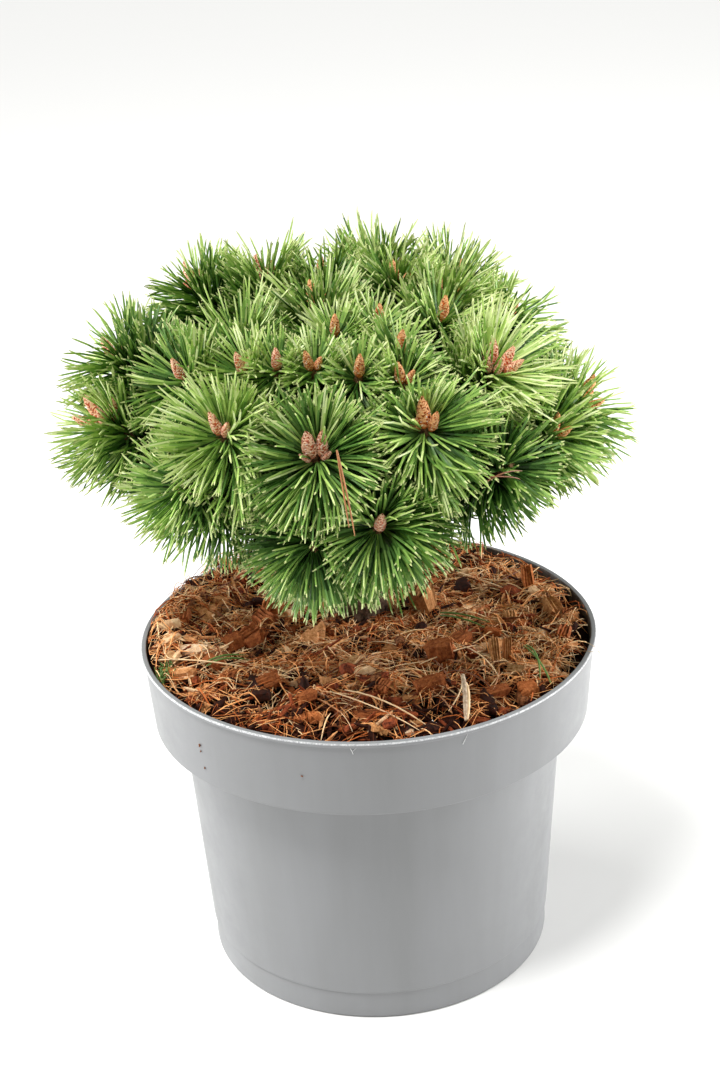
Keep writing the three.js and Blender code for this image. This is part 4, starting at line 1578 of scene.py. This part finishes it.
@dataclass
class Litter:
    """What lies on the plant, its mulch and its container.

    It is straws, dead needles, a stick and a tuft of moss, with grains of soil and small burrs on the
    collar. Each row holds the points that a strand runs through, its radius and the number of its
    finish.
    """

    finishes: list[Material]
    mulch: Mulch
    loose_needles: int = 34
    moss_blades: int = 90
    moss: tuple = (-98.0, -36.0)
    rows: tuple = (
        (((-12, -66, 173), (6, -80, 174), (24, -96, 170)), 0.42, 0),
        (((-19, -65, 172), (2, -84, 173), (21, -101, 170)), 0.36, 0),
        (((-104, -24, 171), (-82, -34, 175), (-57, -42, 174)), 0.42, 0),
        (((-100, -16, 174), (-94, -30, 174), (-80, -22, 174)), 0.3, 0),
        (((40, -30, 176), (52, -44, 177), (60, -62, 174)), 0.3, 0),
        (((74, -34, 175), (80, -50, 175), (84, -66, 171)), 0.5, 2),
        (((75, -35, 176), (79, -48, 177), (79, -64, 173)), 0.5, 2),
        (((36, 0, 176), (46, -8, 178), (57, -13, 175)), 0.5, 2),
        (((36, 1, 177), (47, -4, 178), (60, -8, 175)), 0.5, 2),
        (((-79, -33, 173), (-70, -30, 175), (-60, -27, 173)), 0.5, 2),
        (((-78, -36, 173), (-69, -33, 175), (-58, -32, 173)), 0.5, 2),
        (((43, -66, 178), (43, -82, 176), (42, -97, 171.5)), 1.2, 3),
        (((44, -72, 177), (44.4, -84, 175.5), (43, -96, 171.5)), 0.9, 0),
        (((100, -22, 170), (108, -37, 174), (111, -53, 171)), 0.14, 0),
        (((101, -30, 169), (109, -40, 173), (116, -46, 176)), 0.12, 0),
        (((-14, -84, 171), (-11, -97, 174), (-9, -103, 172)), 0.14, 0),
        (((-9.4, -113, 312), (-6.1, -121, 295), (-3.7, -122.5, 277)), 0.4, 1),
        (((-9.6, -113, 312), (-7.4, -121, 295), (-5.9, -122.3, 281)), 0.4, 1),
        (((54, -92, 286), (62, -88, 288), (70, -80, 285)), 0.36, 4),
        (((55, -92, 288), (63, -88, 286), (69, -82, 282)), 0.3, 4),
        (((-80.6, -75.5, 153.2), (-80.7, -75.7, 152.5), (-80.6, -75.6, 151.6)), 0.5, 4),
        (((-80.3, -75.4, 149.6), (-80.4, -75.5, 149.2), (-80.3, -75.3, 148.7)), 0.35, 4),
        (((-79.1, -75.5, 140.7), (-79.2, -75.7, 140.1), (-79.0, -75.5, 139.6)), 0.35, 4),
        (((-33.3, -105.2, 151.6), (-32.8, -105.4, 151.5), (-32.2, -105.4, 151.2)), 0.35, 4),
        (((40.2, -103.6, 163.2), (41.2, -103.4, 165.4), (42.6, -102.8, 167.9)), 0.14, 5),
        (((-9.2, -110.9, 165.0), (-9.6, -111.1, 166.6), (-10.4, -111.1, 168.2)), 0.16, 5),
        (((-7.6, -111.2, 168.2), (-8.4, -111.1, 167.4), (-9.2, -111.0, 166.6)), 0.1, 5))

    def bent(self, knots: tuple, count: int = 7) -> Array:
        """Points of a strand through three knots."""
        first, middle, last = np.array(knots, float)
        return bezier(first, 2 * middle - (first + last) / 2, last, np.linspace(0, 1, count))

    def fallen(self, rng: Generator) -> list[tuple[Array, float, int]]:
        """Dead needles strewn over the mulch.

        Args:
            rng: The random generator.

        Returns:
            The points, the radius and the number of the finish of each.
        """
        made = []
        for place in self.mulch.scattered(rng, np.full(self.loose_needles, 24.0)):
            heading, half = rng.random() * math.pi, rng.uniform(12, 20)
            way = np.array([math.cos(heading), math.sin(heading), 0]) * half
            aside = np.array([-way[1], way[0], 0]) * rng.uniform(-0.2, 0.2)
            middle = place + aside + UP * rng.uniform(3.5, 5.5)
            made.append((self.bent((place - way + UP * 3, middle, place + way + UP * 3)),
                         0.36, int(rng.choice([0, 1, 4], p=[0.35, 0.45, 0.2]))))
        return made

    def mossy(self, rng: Generator) -> list[tuple[Array, float, int]]:
        """A low tuft of moss against the wall.

        Args:
            rng: The random generator.

        Returns:
            The points, the radius and the number of the finish of each blade.
        """
        made = []
        for _ in range(self.moss_blades):
            x, y = np.array(self.moss) + rng.normal(0, (2.2, 4.0))
            root = np.array([x, y, float(self.mulch.height(np.array(x), np.array(y)))])
            tip = root + np.array([*rng.normal(0, 1.6, 2), rng.uniform(3, 6)])
            made.append((self.bent((root, (root + tip) / 2 + UP, tip)), 0.28, 2))
        return made

    def build(self) -> None:
        """Lay all of it as one piece."""
        rng = default_rng(41)
        laid = [(self.bent(knots), radius, tone) for knots, radius, tone in self.rows]
        laid += self.fallen(rng) + self.mossy(rng)
        shares = np.linspace(0, 1, len(laid[0][0]))
        taper = np.interp(shares, [0, 0.12, 0.8, 1], [0.7, 1, 0.95, 0.4])
        strands = Strands(np.stack([row[0] for row in laid]),
                          np.array([row[1] for row in laid])[:, None] * taper,
                          np.array([row[2] for row in laid]), shares)
        made = strands.to_object("litter")
        grown(made, strand_tree("draw_litter", self.finishes), {"Sides": 5})
        piece(made, "mulch")


# ---- wood
@dataclass
class Wood:
    """The trunk, its boughs and their twigs, in old bark and young."""

    finishes: list[Material]
    plan: CrownPlan
    limbs: list[Limb]
    foot_radius: float = 11.5
    top_radius: float = 5.2
    flare: float = 5.5
    flare_height: float = 8.0
    buttresses: int = 5
    buttress_depth: float = 0.14
    root_radius: float = 4.0
    tip_radius: float = 1.9
    slimming: float = 0.42
    trunk_sides: int = 112
    trunk_rings: int = 150

    def trunk(self) -> None:
        """The trunk, flared and lobed at its foot."""
        sides, rings = self.trunk_sides, self.trunk_rings
        shares = np.linspace(0, 1, rings)
        angles = np.arange(sides) * TURN / sides
        centres = self.plan.trunk_points(shares)
        flare = np.exp(-shares * self.plan.trunk_height / self.flare_height)
        lobes = 1 + self.buttress_depth * flare[:, None] * np.cos(self.buttresses * angles)
        radius = (lerp(self.foot_radius, self.top_radius, shares) + self.flare * flare)[:, None] * lobes
        points = np.empty((rings, sides, 3))
        points[..., 0] = centres[:, None, 0] + radius * np.cos(angles)
        points[..., 1] = centres[:, None, 1] + radius * np.sin(angles)
        points[..., 2] = centres[:, None, 2]
        foot, top = range(sides), range((rings - 1) * sides, rings * sides)
        faces = [*ring_faces(rings, sides), tuple(reversed(foot)), tuple(top)]
        made = Shape(points.reshape(-1, 3), faces).to_object("trunk_bark")
        grown(made, relief_tree("raise_trunk_bark", self.finishes[0]),
              {"Plate density": 190.0, "Crack depth": 1.1 * MM, "Grain depth": 0.7 * MM})
        piece(made, "bark", ["trunk"])

    def boughs(self) -> None:
        """Every bough as one joined mesh of tapering limbs."""
        limbs = self.limbs[:-1]
        shares = np.linspace(0, 1, limbs[0].path.shape[0])
        root = np.array([self.root_radius * (1 - self.slimming * limb.rise) for limb in limbs])
        thickness = lerp(root[:, None], self.tip_radius, shares)
        strands = Strands(np.stack([limb.path for limb in limbs]), thickness, np.zeros(len(limbs)), shares)
        made = strands.to_object("bough_bark")
        grown(made, strand_tree("draw_boughs", self.finishes[:1], relief=True),
              {"Sides": 14, "Plate density": 330.0, "Crack depth": 0.55 * MM, "Grain depth": 0.6 * MM})
        piece(made, "bark", [f"bough_{limb.name}" for limb in limbs])

    def twigs(self) -> None:
        """The twigs that go on from the boughs' ends to the shoots' tips."""
        paths = [twig_path(limb, shoot) for limb in self.limbs for shoot in limb.shoots]
        shares = np.linspace(0, 1, paths[0].shape[0])
        thickness = np.tile(np.interp(shares, [0, 0.5, 0.85, 1], [1.9, 1.8, 2.2, 1.2]), (len(paths), 1))
        strands = Strands(np.stack(paths), thickness, np.zeros(len(paths)), shares)
        made = strands.to_object("twigs")
        grown(made, strand_tree("draw_twigs", self.finishes[1:], relief=True),
              {"Sides": 9, "Plate density": 520.0, "Crack depth": 0.4 * MM, "Grain depth": 0.4 * MM})
        piece(made, "bark")

    def build(self) -> None:
        """Build the wood, from the trunk outwards."""
        self.trunk()
        self.boughs()
        self.twigs()


# ---- needles
class Tone(IntEnum):
    """The greens that the needles are dealt.

    A needle takes the next tone in its middle and the one after that in its outer stretch, and
    its paler flank one more, so the last three are never dealt. The darker tones near the twig are
    painted shade, and the paler outer stretch and flank are partly painted highlight.
    """

    SHADE = 0
    DEEP = 1
    LEAF = 2
    FRESH = 3
    BRIGHT = 4
    LIME = 5
    PALE = 6


@dataclass(frozen=True)
class Site:
    """Where needles grow.

    Attributes:
        path: The twig or bough, from root to tip.
        rng: The random generator.
        shoot: The shoot whose space they keep to, or None.
        others: Cores of the neighbouring shoots.
    """

    path: Array
    rng: Generator
    shoot: Shoot | None = None
    others: Array | None = None


@dataclass
class Needles:
    """The needles, in pairs set in a spiral round every shoot.

    The inner and outer values of a stretch are its needles' angles from the twig in degrees, at its
    tip and at its far end. A young stretch's outer ones start between the first two of three, by how
    upright the shoot is.
    """

    finishes: list[Material]
    plan: CrownPlan
    limbs: list[Limb]
    young_pairs: int = 325
    old_pairs: int = 64
    bough_pairs: int = 26
    zone: float = 32.0
    old_zone: float = 36.0
    length: float = 42.0
    half_width: float = 0.54
    tolerance: float = 2.5
    slack: float = 2.2
    ground: float = 174.5
    skirt: float = 86.0
    skirt_from: float = 26.0
    skirt_run: float = 28.0
    skirt_azimuth: tuple = (28.0, 52.0)
    margin: float = 0.4
    tries: int = 6
    turn_in: float = 0.17
    shortening: float = 0.93
    hook: float = 1.6
    young_stray: tuple = (14.0, 7.0)
    young_inner: tuple = (38.0, 88.0)
    young_outer: tuple = (46.0, 72.0, 116.0)
    old_stray: float = 12.0
    old_inner: tuple = (80.0, 66.0)
    old_outer: tuple = (108.0, 84.0)
    tone_gain: float = 3.7
    painted_shade_fall: float = 3.1
    shares: tuple = (0.0, 0.05, 0.36, 0.68, 0.94, 1.0)
    taper: tuple = (0.72, 0.8, 1.0, 1.0, 0.85, 0.35)

    def along(self, path: Array, back: Array) -> tuple[Array, Array]:
        """Points and directions at distances back from a path's tip.

        Args:
            path: Points from root to tip.
            back: Distances in millimetres.

        Returns:
            The points and the unit directions towards the tip.
        """
        turned = path[::-1]
        gone = np.concatenate([[0], np.cumsum(np.linalg.norm(np.diff(turned, axis=0), axis=1))])
        at = np.stack([np.interp(back, gone, turned[:, i]) for i in range(3)], 1)
        ahead = np.stack([np.interp(back - 1.5, gone, turned[:, i], left=turned[0, i]) for i in range(3)], 1)
        behind = np.stack([np.interp(back + 1.5, gone, turned[:, i]) for i in range(3)], 1)
        return at, unit(ahead - behind)

    def trace(self, root: Array, way: Array, lift: Array, length: Array,
              bend: Array) -> Array:
        """Paths that bend more and more from the way they start in.

        Args:
            root: Where each starts.
            way: The direction that each starts in.
            lift: The direction that each bends towards, square to way.
            length: Length of each.
            bend: How far each has turned by its tip, in radians.

        Returns:
            Points, rows by shares by 3.
        """
        steps = np.diff(self.shares)
        turned = bend[:, None] * (np.array(self.shares[:-1]) + steps / 2) ** self.hook
        start = np.zeros((len(bend), 1))
        ahead = np.concatenate([start, np.cumsum(np.cos(turned) * steps, 1)], 1)
        aside = np.concatenate([start, np.cumsum(np.sin(turned) * steps, 1)], 1)
        reach = length[:, None, None]
        return root[:, None] + reach * (ahead[..., None] * way[:, None] + aside[..., None] * lift[:, None])

    def grow(self, site: Site, back: Array, spread: tuple[Array, Array], length: Array, tone: Array,
             stem: float = 1.6) -> Strands:
        """Grow pairs of needles round a path.

        Args:
            site: Where they grow.
            back: How far back from the path's tip each pair starts.
            spread: Each pair's angle from the path's direction in degrees, where it grows on the
                crown's inner side and on its outer side.
            length: Length of each pair.
            tone: Tone of each pair.
            stem: Radius of the twig.

        Returns:
            The needles.
        """
        count, rng = len(back), site.rng
        at, forward = self.along(site.path, back)
        first, second = square_to(forward)
        azimuth = np.arange(count) * GOLDEN_ANGLE + rng.normal(0, 0.16, count)
        radial = first * np.cos(azimuth)[:, None] + second * np.sin(azimuth)[:, None]
        outward = unit((site.path[-1] - np.array(self.plan.centre)) * [1, 1, 0.2])
        polar = np.radians(lerp(*spread, (1 + radial @ outward) / 2))
        way = forward * np.cos(polar)[:, None] + radial * np.sin(polar)[:, None]
        side = np.cross(forward, radial)
        across = unit(np.cross(way, side))
        roll = rng.uniform(-0.9, 0.9, count)[:, None]
        apart = side * np.cos(roll) + across * np.sin(roll)
        split = rng.uniform(0.06, 0.22, count)[:, None]
        root = at + radial * stem
        way = np.concatenate([unit(way + apart * split), unit(way - apart * split)])
        root, forward, tone, length = (np.concatenate([v, v]) for v in (root, forward, tone, length))
        length = length * rng.uniform(0.95, 1.04, 2 * count)
        bend = np.clip(rng.normal(0.35, 0.2, 2 * count), 0.0, 1.0)
        droop = rng.uniform(0.1, 1.0, (2 * count, 1))
        lean = rng.normal(0, 0.8, (2 * count, 1))
        slack = rng.exponential(self.slack, 2 * count)
        axis = site.shoot.axis if site.shoot else UP
        for _ in range(self.tries):
            towards = lerp(forward, -UP, droop)
            lift = unit(towards - way * (towards * way).sum(1, keepdims=True) + 1e-4)
            lift = lift * np.cos(lean) + np.cross(way, lift) * np.sin(lean)
            points = self.trace(root, way, lift, length, bend)
            astray = self.excess(points, slack, site) > 0
            way = np.where(astray[:, None], unit(way + axis * self.turn_in), way)
            length = np.where(astray, length * self.shortening, length)
        points, tone = points[~astray], tone[~astray]
        thickness = self.half_width * np.array(self.taper) * rng.uniform(0.88, 1.1, len(points))[:, None]
        return Strands(points, thickness, tone, np.array(self.shares))

    def underside(self, points: Array) -> Array:
        """Lowest height that needles hang to, which rises outwards at the crown's sides and back.

        Args:
            points: The needles' paths.

        Returns:
            The height at each point.
        """
        x, y = points[..., 0] - self.plan.centre[0], points[..., 1] - self.plan.centre[1]
        aside = smoothstep(np.degrees(np.abs(np.arctan2(x, -y))), *self.skirt_azimuth)
        away = np.maximum(0, np.hypot(x, y) - self.skirt_from)
        return self.ground + self.skirt * aside * (1 - np.exp(-away / self.skirt_run))

    def excess(self, points: Array, slack: Array, site: Site) -> Array:
        """How far each needle leaves its space, in millimetres.

        Args:
            points: The needles' paths.
            slack: How far each may hang or reach over to a neighbour's side.
            site: Where they grow.

        Returns:
            The worst excess of each, positive where it is out.
        """
        low, high = [np.array(corner) / MM for corner in cad_box]
        out = np.maximum(low - points + self.margin, points - high + self.margin).max(axis=(1, 2))
        out = np.maximum(out, (self.ground - points[..., 2]).max(axis=1))
        out = np.maximum(out, (self.underside(points) - points[..., 2]).max(axis=1) - slack)
        if site.shoot:
            across = site.others - site.shoot.core
            half = np.linalg.norm(across, axis=1) / 2
            gone = (points - site.shoot.core) @ unit(across).T
            out = np.maximum(out, (gone - half - self.tolerance).max(axis=(1, 2)) - slack)
        return out

    def young(self, site: Site) -> Strands:
        """This year's needles, dense round the shoot's last stretch.

        Args:
            site: The shoot's twig.

        Returns:
            The needles.
        """
        rng, shoot = site.rng, site.shoot
        count = int(self.young_pairs * shoot.size**1.6)
        share = (np.arange(count) + 0.5) / count
        back = self.zone * shoot.size * share**0.9 + 1.0
        stray = rng.normal(0, 1, count) * lerp(*self.young_stray, share)
        *leaning, widest = self.young_outer
        splay = lerp(*leaning, smoothstep(shoot.axis[2], 0.6, 0.97))
        spread = (lerp(*self.young_inner, share**0.8) + stray, lerp(splay, widest, share**0.8) + stray)
        length = self.length * shoot.size * np.interp(share, [0, 0.15, 0.5, 1], [0.8, 0.94, 1.0, 0.94])
        length *= rng.uniform(0.8, 1.05, count)
        # Needles further back on the shoot take darker tones as painted shade between the tufts.
        value = shoot.freshness * self.tone_gain - 0.5 - share * self.painted_shade_fall + rng.normal(0, 0.85, count)
        tone = np.clip(np.round(value), Tone.SHADE, Tone.FRESH)
        return self.grow(site, back, spread, length, tone)

    def old(self, site: Site) -> Strands:
        """Last year's needles, further back, sparser and deeper green, and darker still as painted shade
        inside the crown.

        Args:
            site: The shoot's twig.

        Returns:
            The needles.
        """
        rng, shoot = site.rng, site.shoot
        count = int(self.old_pairs * shoot.size)
        share = (np.arange(count) + 0.5) / count
        back = self.zone * shoot.size + self.old_zone * share
        stray = rng.normal(0, self.old_stray, count)
        spread = (lerp(*self.old_inner, share) + stray, lerp(*self.old_outer, share) + stray)
        length = self.length * shoot.size * rng.uniform(0.8, 1.0, count)
        # Dark tones: partly the older needles' own green, partly painted shade inside the crown.
        tone = np.clip(np.round(rng.normal(-0.3, 0.5, count)), Tone.SHADE, Tone.LEAF)
        return self.grow(site, back, spread, length, tone)

    def inner(self, limb: Limb, rng: Generator) -> Strands:
        """The few needles left along a bough, in the crown's shade.

        Args:
            limb: The bough.
            rng: The random generator.

        Returns:
            The needles.
        """
        count = self.bough_pairs
        span = np.linalg.norm(limb.path[-1] - limb.path[0])
        back = rng.uniform(0, 0.55, count) * span
        polar = rng.uniform(45, 85, count)
        length = self.length * rng.uniform(0.7, 0.95, count)
        # All in the darkest tone, as painted shade inside the crown.
        tone = np.full(count, Tone.SHADE)
        return self.grow(Site(limb.path, rng), back, (polar, polar), length, tone, stem=2.0)

    def build(self) -> None:
        """Grow all the needles, one piece for each side of the crown."""
        tree = strand_tree("draw_needles", self.finishes, ends=True, smooth=False)
        cores = np.array([shoot.core for limb in self.limbs for shoot in limb.shoots])
        for sector in Sector:
            mine = [limb for limb in self.limbs if limb.sector is sector]
            groups = []
            for limb in mine:
                rng = default_rng(sum(map(ord, limb.name)))
                groups.append(self.inner(limb, rng))
                for shoot in limb.shoots:
                    path = np.concatenate([limb.path[:-1], twig_path(limb, shoot)[1:]])
                    others = cores[np.linalg.norm(cores - shoot.core, axis=1) > 1]
                    site = Site(path, rng, shoot, others)
                    groups += [self.young(site), self.old(site)]
            needles = Strands.joined(groups).to_object(f"needles_{sector.value}")
            grown(needles, tree, {"Sides": 3, "Root share": self.shares[1], "Inner share": self.shares[2],
                                  "Outer share": self.shares[3], "Tip share": self.shares[-2]})
            piece(needles, "needles", [f"foliage_{limb.name}" for limb in mine])


# ---- buds
@dataclass
class Buds:
    """The winter buds on the shoots' tips, clad in fringed scales with beads of resin.

    A cluster's row holds each bud's shift aside and forward in millimetres, its splay, and its size
    as a share of the greatest. The limbs named in pink bear the rosier ones.
    """

    finishes: list[Material]
    limbs: list[Limb]
    length: float = 15.5
    radius: float = 2.9
    sunk: float = 1.5
    upright: float = 0.9
    scales: int = 84
    beads: int = 36
    shapes: int = 6
    pink: tuple = ("front", "front_left", "front_low_right", "left", "left_high", "upper_left", "right_high",
                   "high_back_left", "back")
    clusters: dict = field(default_factory=lambda: {
        1: [(0.0, 0.0, 0.05, 0.95)],
        2: [(-1.4, 0.0, -0.2, 0.86), (2.2, 0.4, 0.42, 0.62)],
        3: [(-0.6, 0.0, -0.16, 1.08), (2.7, 0.8, 0.16, 0.8), (-3.6, 0.8, -1.0, 0.6)],
        4: [(-2.2, 0.0, -0.06, 0.98), (2.5, 0.0, 0.08, 0.9), (-4.6, 2.0, -0.85, 0.52), (4.0, 3.4, 0.8, 0.46)],
        5: [(-4.4, 0.0, -0.5, 0.92), (-0.9, -1.0, -0.1, 1.0), (3.2, 0.0, 0.3, 0.96), (6.2, 1.6, 0.75, 0.74),
            (-2.6, 3.8, -0.25, 0.72), (2.0, 4.0, 0.2, 0.66)],
        6: [(-4.2, 0.4, -0.8, 0.92), (-0.6, 0.0, -0.1, 1.15), (3.0, 0.6, 0.6, 0.9), (0.6, 3.0, 0.1, 0.75)],
        7: [(0.0, 0.0, -0.1, 1.3), (3.4, 0.6, 0.9, 0.85)],
    })

    def girth(self, share: Array) -> Array:
        """A bud's radius at a share of its length, as a share of its greatest."""
        share = np.clip(share, 0.001, 0.999)
        return np.minimum(1.0, (share / 0.22) ** 0.45) * (1 - share**3.0) ** 0.85

    def bud(self, rng: Generator) -> Shape:
        """One bud along +Z: a pointed body under a spiral of scales.

        Args:
            rng: The random generator.

        Returns:
            Its shape; part 0 is scale, 1 fringe and 2 resin.
        """
        middle = np.linspace(0, 1, 9)[1:-1]
        profile = [(self.radius * 0.96 * float(self.girth(s)), self.length * s) for s in middle]
        body = revolved([(0, 0), *profile, (0, self.length)], 9)
        points, faces, parts = [body.points], list(body.faces), [0] * len(body.faces)
        total = len(body.points)
        for i in range(self.scales):
            share = 0.04 + 0.9 * (i + 0.5) / self.scales
            angle = i * GOLDEN_ANGLE + rng.normal(0, 0.22)
            girth = float(self.girth(np.array(share)))
            wide = 0.4 * self.radius * (0.45 + girth)
            tall = self.length * (0.11 + 0.05 * rng.random())
            out = np.array([math.cos(angle), math.sin(angle), 0])
            side = np.array([-math.sin(angle), math.cos(angle), 0])
            ahead = float(self.girth(np.array(min(share + 0.12, 0.999))))
            low, high = self.radius * girth, self.radius * (ahead * 0.95 + 0.05)
            z = self.length * share
            flank = out * (low * 0.97) + UP * (z + tall * 0.4)
            fringe = high + 0.11 * self.radius * rng.uniform(0.2, 1.8)
            corners = [out * low * 0.86 + UP * z, flank + side * wide, flank - side * wide,
                       out * fringe + UP * (z + tall), out * (low * 1.08) + UP * (z + tall * 0.45),
                       out * (low * 0.75) + UP * (z + tall * 0.5)]
            points.append(np.array(corners))
            b, left, right, t, o, n = range(total, total + 6)
            faces += [(o, b, left), (o, right, b), (o, left, t), (o, t, right),
                      (n, left, b), (n, b, right), (n, t, left), (n, right, t)]
            parts += [0, 0, 1, 1, 0, 0, 1, 1]
            total += 6
        for _ in range(self.beads):
            share, angle = rng.uniform(0.25, 0.92), rng.random() * TURN
            girth = self.radius * float(self.girth(np.array(share))) * 1.1
            centre = np.array([girth * math.cos(angle), girth * math.sin(angle), self.length * share])
            size = rng.uniform(0.16, 0.42)
            points.append(centre + size * np.array([[1, 0, 0], [-1, 0, 0], [0, 1, 0], [0, -1, 0],
                                                    [0, 0, 1], [0, 0, -1]]))
            a = total
            faces += [(a, a + 2, a + 4), (a + 2, a + 1, a + 4), (a + 1, a + 3, a + 4), (a + 3, a, a + 4),
                      (a + 2, a, a + 5), (a + 1, a + 2, a + 5), (a + 3, a + 1, a + 5), (a, a + 3, a + 5)]
            parts += [2] * 8
            total += 6
        return Shape(np.concatenate(points), faces, parts)

    def build(self) -> None:
        """Set a cluster of buds on every shoot that bears them."""
        rng = default_rng(31)
        shapes = [self.bud(rng) for _ in range(self.shapes)]
        places, axes, sizes, tones = [], [], [], []
        for limb in self.limbs:
            for shoot in limb.shoots:
                if not shoot.buds:
                    continue
                way = unit(shoot.axis + self.upright * UP)
                turn = rng.normal(0, 0.25)
                level = np.array([math.cos(turn), math.sin(turn), 0.0])
                aside = unit(level - way * (way @ level))
                outward = np.cross(aside, way)
                for shift, forward, splay, share in self.clusters[shoot.buds]:
                    scale = min(1.0, shoot.size) ** 0.4 * share * rng.uniform(0.94, 1.06)
                    axes.append(unit(way + aside * splay + outward * 0.1 * forward))
                    places.append(shoot.tip + (aside * shift + outward * forward) * scale - way * self.sunk)
                    sizes.append([scale**0.8 * rng.uniform(0.92, 1.05)] * 2 + [scale])
                    tones.append(3 * (limb.name in self.pink))
        turns = euler_from(np.array(axes), rng.random(len(axes)) * TURN)
        made = set_out("buds", shapes, self.finishes, np.array(places), turns, np.array(sizes),
                       np.array(tones), rng.integers(0, len(shapes), len(axes)))
        piece(made, "bark")


# ---- studio
@dataclass
class Studio:
    """A plain pale floor, soft light from all round, and the camera."""

    eye: tuple = (0.0, -0.86524, 0.61505)
    right: tuple = (0.99896, -0.01718, -0.04232)
    up: tuple = (0.04563, 0.41588, 0.90827)
    lens: float = 65.34
    sensor: float = 36.0
    floor_size: float = 12.0
    tent: float = 0.3

    def build(self) -> None:
        """Set up the floor, the lights and the camera."""
        self.floor()
        self.lights()
        self.camera()

    def floor(self) -> None:
        """A wide sheet of seamless paper."""
        half = self.floor_size / 2 / MM
        sheet = Shape(np.array([[-half, -half, 0], [half, -half, 0], [half, half, 0], [-half, half, 0]]),
                      [(0, 1, 2, 3)]).to_object("floor")
        made, _, _ = Surface("seamless paper, matt white", "e4e4e2", 0.9).start()
        sheet.data.materials.append(made)

    def lights(self) -> None:
        """A bright tent of light, with a broad source above and one at each side."""
        scene = bpy.context.scene
        world = bpy.data.worlds.new("studio tent")
        scene.world = world
        world.use_nodes = True
        sky = world.node_tree.nodes["Background"]
        sky.inputs["Color"].default_value = (1.0, 1.0, 1.0, 1.0)
        sky.inputs["Strength"].default_value = self.tent
        for name, kind, place, size, power in (
            ("ceiling", "SUN", (-0.45, -0.4, 1.6), math.radians(18), 3.0),
            ("left", "AREA", (-1.35, 0.25, 0.6), 1.2, 26.0),
            ("right", "AREA", (1.35, 0.2, 0.6), 1.2, 32.0),
        ):
            data = bpy.data.lights.new(name, kind)
            if kind == "SUN":
                data.angle, data.energy = size, power
            else:
                data.shape, data.size, data.energy = "DISK", size, power
            lamp = bpy.data.objects.new(name, data)
            lamp.location = place
            aim = Vector((0, 0, 0.2)) - lamp.location
            lamp.rotation_euler = aim.to_track_quat("-Z", "Y").to_euler()
            scene.collection.objects.link(lamp)
        scene.view_settings.view_transform = "Standard"
        scene.view_settings.look = "None"

    def camera(self) -> None:
        """The camera, slightly rolled, looking down on the crown."""
        data = bpy.data.cameras.new("camera")
        data.lens, data.sensor_width = self.lens, self.sensor
        made = bpy.data.objects.new("camera", data)
        right, up = Vector(self.right).normalized(), Vector(self.up).normalized()
        back = right.cross(up).normalized()
        turn = Matrix((right, back.cross(right), back)).transposed()
        made.matrix_world = Matrix.Translation(self.eye) @ turn.to_4x4()
        bpy.context.scene.collection.objects.link(made)
        bpy.context.scene.camera = made


def main() -> None:
    """Build every sub-assembly in order."""
    logging.basicConfig(level=logging.INFO, format="%(name)s: %(message)s")
    worn = all_finishes()
    plan = CrownPlan()
    limbs = plan.limbs()
    container = Container(worn["container"])
    container.build()
    mulch = Mulch(worn, container, plan)
    mulch.build()
    Litter(worn["litter"], mulch).build()
    Wood(worn["bark"], plan, limbs).build()
    Needles(worn["needles"], plan, limbs).build()
    Buds(worn["buds"], limbs).build()
    Studio().build()


if __name__ == "__main__":
    main()
